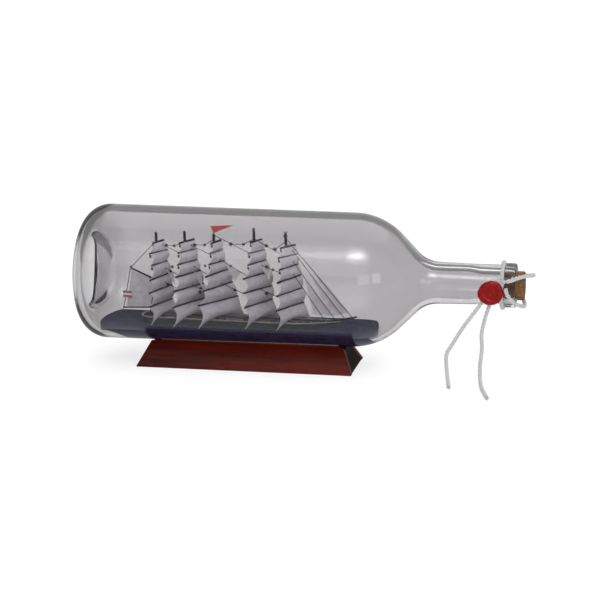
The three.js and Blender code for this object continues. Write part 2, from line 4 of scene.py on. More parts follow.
import bmesh
import bpy
import numpy as np
from bpy.props import FloatProperty, FloatVectorProperty, IntProperty, PointerProperty
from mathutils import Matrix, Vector


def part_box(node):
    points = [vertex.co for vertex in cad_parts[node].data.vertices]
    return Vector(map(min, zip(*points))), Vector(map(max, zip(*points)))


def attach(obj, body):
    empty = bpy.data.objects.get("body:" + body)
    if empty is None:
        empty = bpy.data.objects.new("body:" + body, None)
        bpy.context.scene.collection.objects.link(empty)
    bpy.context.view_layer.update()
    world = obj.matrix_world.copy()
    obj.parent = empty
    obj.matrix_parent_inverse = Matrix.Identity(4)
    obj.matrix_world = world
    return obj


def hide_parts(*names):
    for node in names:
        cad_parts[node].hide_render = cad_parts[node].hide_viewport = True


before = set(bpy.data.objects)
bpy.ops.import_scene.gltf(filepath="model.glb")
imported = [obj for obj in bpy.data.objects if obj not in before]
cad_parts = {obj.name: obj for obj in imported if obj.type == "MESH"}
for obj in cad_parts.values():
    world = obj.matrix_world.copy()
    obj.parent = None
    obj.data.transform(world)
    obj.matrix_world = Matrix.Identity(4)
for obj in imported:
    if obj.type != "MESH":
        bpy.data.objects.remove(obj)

bl_info = {
    "name": "Ship in a bottle",
    "version": (1, 0, 0),
    "blender": (4, 5, 0),
    "location": "3D View > Sidebar > Ship in a bottle",
    "description": "Builds the glass, cork, cords, stand, sea and rigged paper ship",
    "category": "Object",
}

MM = 0.001
TAU = 2 * math.pi
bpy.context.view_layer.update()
BOTTLE_LOW, BOTTLE_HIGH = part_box("bottle")
BASE_X = BOTTLE_LOW.x  # the bottle's base
AXIS_Z = (BOTTLE_LOW.z + BOTTLE_HIGH.z) / 2  # the bottle's axis

# Sizes below are millimetres. The bottle's own are x from its base and heights from its axis.
BODY_RADIUS, TAPER, HEEL_RADIUS = 50.3, 0.8, 20.0
PUNT_RADIUS, PUNT_DEPTH = 27.0, 20.0
WALL, BASE_THICKNESS = 3.0, 5.0
SHOULDER_X, SHOULDER_RADIUS = 205.0, 50.0
THROAT_RADIUS, NECK_ROOT, NECK_RADIUS, NECK_WALL, NECK_TAPER = 22.0, 15.4, 14.9, 4.0, 22.0
LIP_RADIUS, LIP_WIDTH, LIP_ROUND = 16.2, 7.8, 1.4
BORE_RADIUS, BORE_LENGTH, BORE_TAPER = 10.2, 26.0, 8.0
BOTTLE_LENGTH = 325.5

# The ship's are x from the bottle's base, y, and height above the sea.
SEA_LEVEL = -36.8
STERN_X, BOW_X, BEAM, STERN_ROUND, BOW_LENGTH = 44.5, 196.5, 19.0, 9.0, 42.0
DECK_TOP = 2.3
MAST_RADIUS, MAST_TIP, YARD_RADIUS = 1.0, 0.85, 0.55
SAIL_NAMES = ("royal", "topgallant", "upper_topsail", "lower_topsail", "upper_course", "course")
MASTS = (
    {
        "x": 58.3, "top": 67.4,
        "heights": (60.2, 52.6, 43.7, 33.6, 24.1, 13.6),
        "lengths": (13, 20, 22, 30, 33, 32),
        "braces": (24, 30, 19, 17, 18, 18),
    },
    {
        "x": 80.2, "top": 69.0,
        "heights": (61.2, 53.9, 45.5, 36.5, 26.2, 14.7),
        "lengths": (19, 22, 23, 30, 36, 39),
        "braces": (23, 26, 27, 26, 25, 27),
    },
    {
        "x": 102.4, "top": 67.8,
        "heights": (61.5, 54.2, 45.9, 38.0, 27.6, 16.8),
        "lengths": (15, 18, 21, 33, 38, 42),
        "braces": (16, 19, 22, 20, 23, 33),
    },
    {
        "x": 133.0, "top": 72.8,
        "heights": (63.2, 55.2, 47.0, 37.6, 26.7, 16.0),
        "lengths": (16, 20, 25, 33, 34, 34),
        "braces": (20, 26, 22, 28, 28, 27),
    },
    {
        "x": 156.9, "top": 70.1,
        "heights": (59.9, 52.8, 44.5, 35.5, 25.6, 14.6),
        "lengths": (17, 22, 25, 33, 34, 34),
        "braces": (30, 32, 24, 22, 24, 27),
    },
)


# ---------------------------------------------------------------- places and small maths


def lying(points):
    """Metres in the row's frame from millimetres along the bottle, across it and above its axis."""
    return np.asarray(points, float) * MM + np.array([BASE_X, 0.0, AXIS_Z])


def afloat(points):
    """Metres in the row's frame from millimetres along the bottle, across it and above the sea."""
    return lying(np.asarray(points, float) + np.array([0.0, 0.0, SEA_LEVEL]))


def smooth(t):
    """Three t squared less two t cubed, t held between 0 and 1."""
    t = np.clip(t, 0, 1)
    return t * t * (3 - 2 * t)


def noise(points, seed):
    """Value noise: a random number at each whole-number corner, blended smoothly between corners."""
    table = np.random.default_rng(seed).random(4096)
    cell = np.floor(points).astype(int)
    t = smooth(points - cell)
    total = np.zeros(points.shape[:-1])
    for dx in (0, 1):
        for dy in (0, 1):
            for dz in (0, 1):
                corner = cell + np.array([dx, dy, dz])
                key = (corner[..., 0] * 1619 + corner[..., 1] * 31337 + corner[..., 2] * 6971) % 4096
                weight = np.prod(np.where([dx, dy, dz], t, 1 - t), axis=-1)
                total += table[key] * weight
    return total * 2 - 1


def arc(across, along, radius, start, end, steps):
    """Points of a circular arc between two angles in degrees, as (distance from the axis, x)."""
    a = np.radians(np.linspace(start, end, steps))
    return np.stack([across + radius * np.cos(a), along + radius * np.sin(a)], -1)


def smooth_path(points, steps):
    """A Catmull-Rom curve: each span is the cubic through its two ends, sloped by their neighbours."""
    p = np.asarray(points, float)
    p = np.concatenate([[2 * p[0] - p[1]], p, [2 * p[-1] - p[-2]]])
    spans = len(p) - 3
    at = np.linspace(0, spans, steps)
    i = np.minimum(at.astype(int), spans - 1)
    t = (at - i)[:, None]
    a, b, c, d = p[i], p[i + 1], p[i + 2], p[i + 3]
    return 0.5 * (2 * b + (c - a) * t + (2 * a - 5 * b + 4 * c - d) * t**2 + (3 * b - a - 3 * c + d) * t**3)


# ---------------------------------------------------------------- meshes from arrays


def skin(grid, wrap_rows=False, wrap_columns=True, caps=True):
    """Points, faces and corner UVs of a grid of points, closed round its columns or its rows as
    asked, with a fan of triangles to the middle of the first and of the last row as caps."""
    rows, columns = grid.shape[:2]
    r, c = np.meshgrid(
        np.arange(rows if wrap_rows else rows - 1),
        np.arange(columns if wrap_columns else columns - 1),
        indexing="ij",
    )
    steps = ((0, 0), (1, 0), (1, 1), (0, 1))
    corners = np.stack([np.stack([r + i, c + j], -1) for i, j in steps], -2).reshape(-1, 4, 2)
    quads = corners[..., 0] % rows * columns + corners[..., 1] % columns
    points = grid.reshape(-1, 3)
    faces = [quads]
    uvs = [corners / np.array([rows, columns])]
    if caps:
        turn = np.arange(columns)
        following = (turn + 1) % columns
        round_cap = np.stack([turn, turn, turn + 1], -1) / columns
        for row, pole in ((0, len(points)), (rows - 1, len(points) + 1)):
            rim = row * columns
            faces.append(np.stack([np.full(columns, pole), rim + turn, rim + following], -1))
            uvs.append(np.stack([np.full((columns, 3), row / rows), round_cap], -1))
        points = np.concatenate([points, grid[[0, -1]].mean(axis=1)])
    return points, faces, uvs


def tube(path, radius, sides, reference):
    """A section swept along a path: at each point, radius times a circle square to the path, with a
    radius for each point and each side. The circle starts square to the reference direction."""
    path = np.asarray(path, float)
    along = np.gradient(path, axis=0)
    along /= np.linalg.norm(along, axis=1, keepdims=True)
    side = np.cross(along, np.asarray(reference, float))
    side /= np.linalg.norm(side, axis=1, keepdims=True)
    up = np.cross(side, along)
    a = np.arange(sides) * TAU / sides
    ring = np.cos(a)[None, :, None] * side[:, None] + np.sin(a)[None, :, None] * up[:, None]
    return skin(path[:, None] + radius[..., None] * ring)


SPAR_RINGS = ((0.0, 0.6), (0.015, 1.0), (0.985, 1.0), (1.0, 0.6))
BEAD_RINGS = tuple(((1 - math.cos(a)) / 2, math.sin(a)) for a in np.linspace(0.35, math.pi - 0.35, 6))


def rods(ends, radii, sides=8, rings=SPAR_RINGS):
    """Many straight rods at once: each ring stands at its share of the way from end to end, with its
    share of the radius, which runs evenly from one end's to the other's, and both ends are closed."""
    ends = np.asarray(ends, float).reshape(-1, 2, 3)
    count = len(ends)
    radii = np.broadcast_to(np.asarray(radii, float), (count, 2))
    along = ends[:, 1] - ends[:, 0]
    unit = along / np.linalg.norm(along, axis=1, keepdims=True)
    reference = np.where(np.abs(unit[:, 1:2]) > 0.9, [[1.0, 0, 0]], [[0, 1.0, 0]])
    side = np.cross(unit, reference)
    side /= np.linalg.norm(side, axis=1, keepdims=True)
    up = np.cross(side, unit)
    share, fullness = np.array(rings).T
    a = np.arange(sides) * TAU / sides
    circle = np.cos(a)[:, None] * side[:, None] + np.sin(a)[:, None] * up[:, None]
    width = (radii[:, :1] + (radii[:, 1:] - radii[:, :1]) * share) * fullness
    middle = ends[:, :1] + along[:, None] * share[None, :, None]
    points = middle[:, :, None] + width[..., None, None] * circle[:, None]
    one, faces, uvs = skin(points[0])
    body = points.reshape(count, -1, 3)
    poles = middle[:, [0, -1]]
    every = np.concatenate([body, poles], 1).reshape(-1, 3)
    offset = (np.arange(count) * len(one))[:, None, None]
    faces = [(f[None] + offset).reshape(-1, f.shape[1]) for f in faces]
    uvs = [np.broadcast_to(u, (count, *u.shape)).reshape(-1, *u.shape[1:]) for u in uvs]
    return every, faces, uvs


def beads(centres, radii, squash=1.0):
    """Blobs of glue: rods as long as they are thick, with rings of a ball's section."""
    centres = np.asarray(centres, float)
    half = np.broadcast_to(np.asarray(radii, float), (len(centres),))[:, None]
    lift = np.array([[0.0, 0.0, 1.0]]) * half * squash
    return rods(np.stack([centres - lift, centres + lift], 1), np.repeat(half, 2, 1), 8, BEAD_RINGS)


def leaf(grid, thickness):
    """A thin closed sheet: the surface shifted half its thickness to either side along its normals,
    with the two sides joined round all four edges."""
    across, down = np.gradient(grid, axis=0), np.gradient(grid, axis=1)
    normal = np.cross(across, down)
    normal /= np.linalg.norm(normal, axis=-1, keepdims=True) + 1e-12
    front, back = grid + normal * thickness / 2, grid - normal * thickness / 2
    columns = grid.shape[1]
    points, faces, uvs = skin(np.concatenate([front, back[:, ::-1]], 1), caps=False)
    j = np.arange(columns - 1)
    slit = np.stack([j, j + 1, 2 * columns - 2 - j, 2 * columns - 1 - j], -1)
    last = (grid.shape[0] - 1) * 2 * columns
    for edge in (slit, slit[:, ::-1] + last):
        faces.append(edge)
        uvs.append(np.zeros((*edge.shape, 2)))
    return points, faces, uvs


def block(low, high, rounding):
    """A box with rounded upright corners and a rounded top: a rounded rectangle drawn at four heights,
    with a rounding drawn in towards the top."""
    low, high = np.asarray(low, float), np.asarray(high, float)
    half = (high - low)[:2] / 2
    sides = 32
    a = np.linspace(0, TAU, sides, endpoint=False)
    turn = np.stack([np.cos(a), np.sin(a)], -1)
    corner = np.sign(turn)
    rings = []
    heights = (low[2], high[2] - rounding, high[2] - rounding * 0.3, high[2])
    for height, share in zip(heights, (1.0, 1.0, 0.73, 0.1)):
        plan = corner * (half - rounding) + turn * rounding * share
        rings.append(np.concatenate([plan + (low + high)[:2] / 2, np.full((sides, 1), height)], 1))
    return skin(np.array(rings))


def piece(name, parts, material, body, replaced=(), sharp_angle=None):
    """One finished object from one or more closed shells, its place in its mesh, riding on a body."""
    points, faces, uvs, start = [], [], [], 0
    for part_points, part_faces, part_uvs in parts:
        points.append(part_points)
        faces += [f + start for f in part_faces]
        uvs += part_uvs
        start += len(part_points)
    mesh = bpy.data.meshes.new(name)
    mesh.from_pydata(np.concatenate(points).tolist(), [], [row for f in faces for row in f.tolist()])
    layer = mesh.uv_layers.new(name="Surface")
    layer.data.foreach_set("uv", np.concatenate([u.reshape(-1, 2) for u in uvs]).astype(np.float32).ravel())
    return finish_piece(name, mesh, material, body, replaced, sharp_angle)


def finish_piece(name, mesh, material, body, replaced, sharp_angle):
    """Turns every face outwards, shades it smooth, hides the parts it replaces and hangs it on its body."""
    shell = bmesh.new()
    shell.from_mesh(mesh)
    bmesh.ops.recalc_face_normals(shell, faces=shell.faces)
    shell.to_mesh(mesh)
    shell.free()
    mesh.polygons.foreach_set("use_smooth", np.ones(len(mesh.polygons), bool))
    if sharp_angle is not None:
        mesh.set_sharp_from_angle(angle=math.radians(sharp_angle))
    mesh.materials.append(material)
    made = bpy.data.objects.new(name, mesh)
    bpy.context.scene.collection.objects.link(made)
    if replaced:
        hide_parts(*replaced)
    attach(made, body)
    return made


# ---------------------------------------------------------------- materials


class Tree:
    """Short hand for adding nodes and links to a material's or a group's tree."""

    def __init__(self, tree):
        self.tree = tree

    def add(self, kind, inputs=None, **settings):
        """A node with its settings, and each named or numbered input linked or given its value."""
        node = self.tree.nodes.new("ShaderNode" + kind)
        for name, value in settings.items():
            setattr(node, name, value)
        for name, value in (inputs or {}).items():
            if isinstance(value, bpy.types.NodeSocket):
                self.tree.links.new(value, node.inputs[name])
            else:
                node.inputs[name].default_value = value
        return node

    def math(self, operation, first, second=0.0, third=0.0):
        """The value of one sum."""
        return self.add("Math", {0: first, 1: second, 2: third}, operation=operation).outputs[0]

    def mix(self, share, first, second):
        """A colour between two, or one colour over another, by a share."""
        node = self.add("Mix", {0: share, 6: first, 7: second}, data_type="RGBA")
        return node.outputs[2]

    def steps(self, value, low, high, to_low=0.0, to_high=1.0):
        """A value's range stretched to another."""
        inputs = {"Value": value, "From Min": low, "From Max": high, "To Min": to_low, "To Max": to_high}
        return self.add("MapRange", inputs).outputs[0]

    def stretched(self, vector, scale):
        """A vector scaled about the origin."""
        return self.add("Mapping", {"Vector": vector, "Scale": scale}).outputs[0]


def new_group(name, inputs, outputs):
    """A node group with named inputs, each with its kind and default, and named outputs."""
    tree = bpy.data.node_groups.new(name, "ShaderNodeTree")
    for label, kind, value in inputs:
        socket = tree.interface.new_socket(label, in_out="INPUT", socket_type="NodeSocket" + kind)
        if value is not None:
            socket.default_value = value
    for label, kind in outputs:
        tree.interface.new_socket(label, in_out="OUTPUT", socket_type="NodeSocket" + kind)
    t = Tree(tree)
    return t, tree.nodes.new("NodeGroupInput"), tree.nodes.new("NodeGroupOutput")


def wood_grain():
    """Streaks and pores: noise read in a vector that the material stretches along the grain."""
    name = "wood grain"
    if name in bpy.data.node_groups:
        return bpy.data.node_groups[name]
    sockets = [("Vector", "Vector", None), ("Scale", "Float", 100.0), ("Contrast", "Float", 1.0)]
    t, entry, leave = new_group(name, sockets, [("Streak", "Float"), ("Height", "Float")])
    scale = entry.outputs["Scale"]
    vector = entry.outputs["Vector"]
    figure = t.add("TexNoise", {"Vector": vector, "Scale": scale, "Detail": 6.0, "Distortion": 0.6})
    fine = t.math("MULTIPLY", scale, 5.0)
    pores = t.add("TexNoise", {"Vector": vector, "Scale": fine, "Detail": 3.0})
    both = t.math("MULTIPLY_ADD", pores.outputs["Fac"], 0.4, t.math("MULTIPLY", figure.outputs["Fac"], 0.6))
    around = t.math("MULTIPLY_ADD", t.math("SUBTRACT", both, 0.5), entry.outputs["Contrast"], 0.5)
    t.tree.links.new(t.add("Clamp", {"Value": around}).outputs[0], leave.inputs["Streak"])
    t.tree.links.new(pores.outputs["Fac"], leave.inputs["Height"])
    return t.tree


def paper_fibre():
    """Laid paper: broad mottling, and short fibres in a noise stretched one way and another."""
    name = "paper fibre"
    if name in bpy.data.node_groups:
        return bpy.data.node_groups[name]
    sockets = [("Vector", "Vector", None), ("Scale", "Float", 1000.0)]
    t, entry, leave = new_group(name, sockets, [("Mottle", "Float"), ("Height", "Float")])
    scale, vector = entry.outputs["Scale"], entry.outputs["Vector"]
    broad = t.add("TexNoise", {"Vector": vector, "Scale": t.math("MULTIPLY", scale, 0.2), "Detail": 4.0})
    one = t.add("TexNoise", {"Vector": t.stretched(vector, (1, 0.25, 0.6)), "Scale": scale, "Detail": 3.0})
    other = t.add("TexNoise", {"Vector": t.stretched(vector, (0.5, 1, 0.2)), "Scale": scale, "Detail": 3.0})
    t.tree.links.new(broad.outputs["Fac"], leave.inputs["Mottle"])
    height = t.math("ADD", one.outputs["Fac"], other.outputs["Fac"])
    t.tree.links.new(t.math("MULTIPLY", height, 0.5), leave.inputs["Height"])
    return t.tree


def uneven():
    """Hand-laid paint, glue or wax: smooth patches of two sizes, put between a low and a high value."""
    name = "uneven coat"
    if name in bpy.data.node_groups:
        return bpy.data.node_groups[name]
    sockets = [("Vector", "Vector", None), ("Scale", "Float", 200.0)]
    sockets += [("Low", "Float", 0.3), ("High", "Float", 0.6)]
    results = [("Value", "Float"), ("Patches", "Float"), ("Height", "Float")]
    t, entry, leave = new_group(name, sockets, results)
    vector, scale = entry.outputs["Vector"], entry.outputs["Scale"]
    broad = t.add("TexNoise", {"Vector": vector, "Scale": scale, "Detail": 5.0, "Roughness": 0.6})
    small = t.add("TexNoise", {"Vector": vector, "Scale": t.math("MULTIPLY", scale, 7.0), "Detail": 2.0})
    patches = t.steps(broad.outputs["Fac"], 0.3, 0.7)
    value = t.steps(patches, 0.0, 1.0, entry.outputs["Low"], entry.outputs["High"])
    height = t.math("MULTIPLY_ADD", small.outputs["Fac"], 0.3, broad.outputs["Fac"])
    for socket, made in (("Value", value), ("Patches", patches), ("Height", height)):
        t.tree.links.new(made, leave.inputs[socket])
    return t.tree


class Finish(Tree):
    """A material with one Principled shader, whose even values are set on its own sockets."""

    def __init__(self, name, **even):
        self.material = bpy.data.materials.new(name)
        self.material.use_nodes = True
        super().__init__(self.material.node_tree)
        self.tree.nodes.clear()
        self.shader = self.add("BsdfPrincipled")
        self.output = self.add("OutputMaterial", {"Surface": self.shader.outputs[0]})
        for label, value in even.items():
            self.shader.inputs[label.replace("_", " ")].default_value = value
        self.place = self.add("TexCoord").outputs["Object"]

    def group(self, tree, inputs):
        """A group's node, reading the place on the object unless another vector is given."""
        node = self.add("Group", node_tree=tree)
        for label, value in {"Vector": self.place, **inputs}.items():
            if isinstance(value, bpy.types.NodeSocket):
                self.tree.links.new(value, node.inputs[label])
            else:
                node.inputs[label].default_value = value
        return node.outputs

    def drive(self, label, value):
        """Links a value that varies over the surface to the shader."""
        self.tree.links.new(value, self.shader.inputs[label])

    def relief(self, height, distance, strength=1.0):
        """A bump of that many millimetres."""
        bump = self.add("Bump", {"Height": height, "Distance": distance * MM, "Strength": strength})
        self.drive("Normal", bump.outputs[0])


def solid_colour(value, factor=1.0):
    """Four channels from a colour property, made lighter or darker by a factor."""
    return (*[min(1.0, c * factor) for c in value[:3]], 1.0)


def glass_finish(tint, edge):
    """Smoke-grey glass: painted shade where it turns edge on, darker towards the base and at the lip, and
    clear in the punt. To shadow rays and diffuse rays it is nearly open, so that light reaches what it
    holds."""
    f = Finish(
        "clear glass", Transmission_Weight=1.0, Roughness=0.0, IOR=1.34, Coat_Weight=0.2, Coat_Roughness=0.16
    )
    facing = f.add("LayerWeight", {"Blend": 0.5}).outputs["Facing"]
    centred = f.add("Mapping", {"Vector": f.place, "Location": (-BASE_X, 0, -AXIS_Z)}).outputs[0]
    x = f.add("SeparateXYZ", {0: centred}).outputs["X"]
    across = f.add("VectorMath", {0: centred, 1: (0, 1, 1)}, operation="MULTIPLY").outputs[0]
    radius = f.add("VectorMath", {0: across}, operation="LENGTH").outputs["Value"]
    beside_punt = f.steps(radius, (PUNT_RADIUS + 2) * MM, (PUNT_RADIUS + 7) * MM)
    off_punt = f.math("MAXIMUM", beside_punt, f.steps(x, (PUNT_DEPTH + 10) * MM, (PUNT_DEPTH + 20) * MM))
    # Painted shade: where the glass turns edge on, its colour goes over to the edge colour, standing in for
    # the dark surroundings that glass shows at its edges. The punt is left out.
    rim = f.math("MULTIPLY", f.math("POWER", f.steps(facing, 0.6, 0.93), 1.6), off_punt)
    wall = solid_colour(tint, 0.65)
    # Each stretch, from its start and end along the bottle, goes over to a share of the tint.
    lip = BOTTLE_LENGTH - LIP_WIDTH
    for start, end, share in ((0, 24, 1.0), (262, 280, 0.96), (lip - 1.2, lip + 0.8, 0.6)):
        wall = f.mix(f.steps(x, start * MM, end * MM), wall, solid_colour(tint, share))
    around = f.mix(off_punt, (0.97, 0.97, 0.97, 1), wall)
    f.drive("Base Color", f.mix(rim, around, solid_colour(edge)))
    ripple = f.add("TexNoise", {"Vector": f.stretched(f.place, (0.4, 1, 1)), "Scale": 55.0, "Detail": 1.0})
    f.relief(ripple.outputs["Fac"], 0.12, 0.35)
    path = f.add("LightPath")
    lit = f.math("MAXIMUM", path.outputs["Is Shadow Ray"], path.outputs["Is Diffuse Ray"])
    clear = f.add("BsdfTransparent", {"Color": (0.93, 0.93, 0.93, 1)})
    surface = f.add("MixShader", {0: lit, 1: f.shader.outputs[0], 2: clear.outputs[0]})
    f.tree.links.new(surface.outputs[0], f.output.inputs["Surface"])
    return f.material


def wood_finish(name, light, dark, along, scale, contrast, roughness, coat=0.0, relief=0.05, gloss=0.2):
    """Stained wood: dark streaks along the grain, small pores, and varnish as a coat."""
    f = Finish(name, Coat_Weight=coat, Coat_Roughness=0.2, Specular_IOR_Level=gloss)
    stretch = tuple(0.06 if axis == along else 1.0 for axis in "xyz")
    figure = {"Vector": f.stretched(f.place, stretch), "Scale": scale, "Contrast": contrast}
    grain = f.group(wood_grain(), figure)
    coat_of_stain = f.group(uneven(), {"Scale": 45.0, "Low": roughness * 0.8, "High": roughness * 1.25})
    stained = f.mix(grain["Streak"], solid_colour(dark), solid_colour(light))
    blotches = f.math("MULTIPLY", coat_of_stain["Patches"], 0.25)
    f.drive("Base Color", f.mix(blotches, stained, solid_colour(dark, 0.8)))
    f.drive("Roughness", coat_of_stain["Value"])
    f.relief(grain["Height"], relief, 0.6)
    return f.material


FIBRE_SCALE = 1400.0


def paper_finish(name, colour, shade, glow=0.0, roughness=0.75):
    """Stiff paper: faint mottling and fibres, with some light let through from behind."""
    f = Finish(name, Subsurface_Weight=glow, Subsurface_Radius=(1, 0.9, 0.8), Subsurface_Scale=0.0008)
    fibre = f.group(paper_fibre(), {"Scale": FIBRE_SCALE})
    mottle = f.steps(fibre["Mottle"], 0.35, 0.65)
    f.drive("Base Color", f.mix(mottle, solid_colour(shade), solid_colour(colour)))
    f.drive("Roughness", f.steps(fibre["Height"], 0.3, 0.7, roughness - 0.1, roughness + 0.1))
    f.relief(fibre["Height"], 0.05, 0.5)
    return f.material


def paint_finish(name, colour, shade, scale, low, high, relief=0.08, coat=0.0, gloss=0.4):
    """Brushed or dabbed paint: two tones in uneven patches, glossier here and duller there."""
    f = Finish(name, Coat_Weight=coat, Coat_Roughness=0.2, Specular_IOR_Level=gloss)
    coat_of_paint = f.group(uneven(), {"Scale": scale, "Low": low, "High": high})
    f.drive("Base Color", f.mix(coat_of_paint["Patches"], solid_colour(shade), solid_colour(colour)))
    f.drive("Roughness", coat_of_paint["Value"])
    f.relief(coat_of_paint["Height"], relief, 0.7)
    return f.material


def hull_finish(rail, side):
    """Two paints in uneven patches: pale on the rail, which is the middle of the bulwark's section
    as the surface's own map runs round it, and darker below it outside and in."""
    f = Finish("hull paint", Specular_IOR_Level=0.3)
    coat = f.group(uneven(), {"Scale": 320.0, "Low": 0.45, "High": 0.75})
    round_section = f.add("SeparateXYZ", {0: f.add("UVMap", uv_map="Surface").outputs[0]}).outputs["Y"]
    from_top = f.math("ABSOLUTE", f.math("SUBTRACT", round_section, 0.5))
    on_rail = f.steps(from_top, 0.25, 0.22)
    painted = f.mix(on_rail, solid_colour(side), solid_colour(rail))
    f.drive("Base Color", f.mix(f.math("MULTIPLY", coat["Patches"], 0.5), painted, solid_colour(side, 0.6)))
    f.drive("Roughness", coat["Value"])
    f.relief(coat["Height"], 0.06, 0.7)
    return f.material


def cork_finish(light, dark):
    """Cork: tan cells, brown lenticels stretched across the grain and a few dark pits."""
    f = Finish("cork bark", Specular_IOR_Level=0.25)
    stretched = f.stretched(f.place, (1.0, 0.5, 1.0))
    coat = f.group(uneven(), {"Vector": stretched, "Scale": 330.0, "Low": 0.75, "High": 0.95})
    cells = f.add("TexVoronoi", {"Vector": f.place, "Scale": 1100.0})
    pits = f.add("TexNoise", {"Vector": stretched, "Scale": 420.0, "Detail": 4.0, "Roughness": 0.7})
    pit = f.steps(pits.outputs["Fac"], 0.56, 0.66)
    bark = f.mix(coat["Patches"], solid_colour(dark), solid_colour(light))
    grainy = f.mix(f.math("MULTIPLY", cells.outputs["Distance"], 0.35), bark, solid_colour(dark))
    f.drive("Base Color", f.mix(pit, grainy, solid_colour(dark, 0.3)))
    f.drive("Roughness", coat["Value"])
    f.relief(f.math("SUBTRACT", cells.outputs["Distance"], pit), 0.15, 0.7)
    return f.material


def cotton_finish(colour, shade):
    """Twisted cotton: fine fibres that follow the strands round the cord, painted shade between strands."""
    f = Finish("cotton cord", Sheen_Weight=0.35, Sheen_Roughness=0.5, Roughness=0.9, Specular_IOR_Level=0.2)
    along = f.add("UVMap", uv_map="Surface").outputs[0]
    threads = f.add("TexNoise", {"Vector": f.stretched(along, (30, 220, 1)), "Scale": 1.0, "Detail": 3.0})
    depth = f.add("Attribute", attribute_name="crown").outputs["Fac"]
    fibre_tone = f.steps(threads.outputs["Fac"], 0.3, 0.7, 0.75, 1.0)
    # Painted shade: where the crown is low, deep between the strands, the colour goes over to the shadow
    # colour.
    tone = f.math("MULTIPLY", fibre_tone, f.steps(depth, 0, 0.6, 0.35, 1))
    f.drive("Base Color", f.mix(tone, solid_colour(shade), solid_colour(colour)))
    f.relief(threads.outputs["Fac"], 0.16, 0.8)
    return f.material


def ensign_finish(top, middle, low, z_top, z_low):
    """Three stripes by height, about even, on the same paper as the sails."""
    f = Finish("striped paper")
    fibre = f.group(paper_fibre(), {"Scale": FIBRE_SCALE})
    height = f.add("SeparateXYZ", {0: f.place}).outputs["Z"]
    share = f.steps(height, z_low, z_top)
    lower = f.mix(f.math("GREATER_THAN", share, 0.36), solid_colour(low), solid_colour(middle))
    stripes = f.mix(f.math("GREATER_THAN", share, 0.66), lower, solid_colour(top))
    worn = f.steps(fibre["Mottle"], 0.3, 0.9, 0.0, 0.5)
    f.drive("Base Color", f.mix(worn, stripes, solid_colour(middle, 0.7)))
    f.drive("Roughness", f.steps(fibre["Height"], 0.3, 0.7, 0.6, 0.8))
    f.relief(fibre["Height"], 0.05, 0.5)
    return f.material


def material(name, make):
    """A finish made the first time that it's asked for."""
    return bpy.data.materials.get(name) or make()


def dimmed(colour, factor):
    """A colour's three channels times a factor."""
    return [c * factor for c in colour]


def spar_material(colour):
    name, light = "black spar", dimmed(colour, 2)
    return material(name, lambda: wood_finish(name, light, colour, "z", 900.0, 1.4, 0.5, 0.05, 0.04, 0.1))


def sail_material(ship):
    name, shade = "sail paper", dimmed(ship.sail_colour, 0.8)
    return material(name, lambda: paper_finish(name, ship.sail_colour, shade, 0.35))


# ---------------------------------------------------------------- the settings


def colour(name, description, value):
    return FloatVectorProperty(
        name=name, description=description, subtype="COLOR", size=3, min=0, max=1, default=value
    )


def length(name, description, millimetres):
    metres = millimetres * MM
    return FloatProperty(name=name, description=description, default=metres, unit="LENGTH", precision=5)


def amount(name, description, value):
    return FloatProperty(name=name, description=description, default=value, min=0)


class StageSettings(bpy.types.PropertyGroup):
    floor: colour("Floor", "Colour of the floor", (0.34, 0.34, 0.34))
    glow: amount("Glow", "Light that the floor gives off", 0.7)
    daylight: amount("Daylight", "Strength of the even light all round", 0.35)
    key: amount("Key", "Strength of the soft lamp at the front", 1.7)
    glint: amount("Glint", "Strength of the lamps mirrored in the shoulder", 3.0)
    top_light: amount("Top light", "Strength of the wide lamp behind", 1.1)
    window: FloatProperty(name="Window", description="Power of each window pane", default=0.8, unit="POWER")
    lens: FloatProperty(name="Lens", description="Focal length of the camera", default=133.3, unit="CAMERA")


class BottleSettings(bpy.types.PropertyGroup):
    tint: colour("Tint", "Colour of the glass seen square on", (0.645, 0.633, 0.643))
    # The edge colour is painted shade, which the glass takes on where it turns edge on.
    edge: colour("Edge", "Colour of the glass seen edge on", (0.26, 0.28, 0.265))
    facets: IntProperty(name="Facets", description="Faces round the glass and the cork", default=192, min=24)
    cork_light: colour("Cork", "Lighter colour of the cork", (0.27, 0.14, 0.062))
    cork_dark: colour("Cork bark", "Darker colour of the cork", (0.11, 0.05, 0.02))
    wax: colour("Wax", "Colour of the sealing wax", (0.30, 0.001, 0.003))


class CordSettings(bpy.types.PropertyGroup):
    diameter: length("Diameter", "Thickness of the cotton cord", 3.0)
    twist: length("Twist", "Length over which a strand goes once round", 9.0)
    cotton: colour("Cotton", "Colour of the strands", (0.56, 0.56, 0.57))
    shadow: colour("Shadow", "Colour deep between the strands", (0.26, 0.25, 0.25))


class StandSettings(bpy.types.PropertyGroup):
    rounding: length("Rounding", "Radius worn on the boards' edges", 0.55)
    light: colour("Light grain", "Colour of the lighter streaks", (0.125, 0.008, 0.002))
    dark: colour("Dark grain", "Colour of the darker streaks", (0.016, 0.002, 0.0015))


class SeaSettings(bpy.types.PropertyGroup):
    ripple: length("Ripple", "Height of the ripples modelled in the putty", 0.45)
    crest: colour("Crests", "Colour of the raised putty", (0.017, 0.024, 0.078))
    trough: colour("Troughs", "Colour of the putty between", (0.005, 0.0055, 0.016))


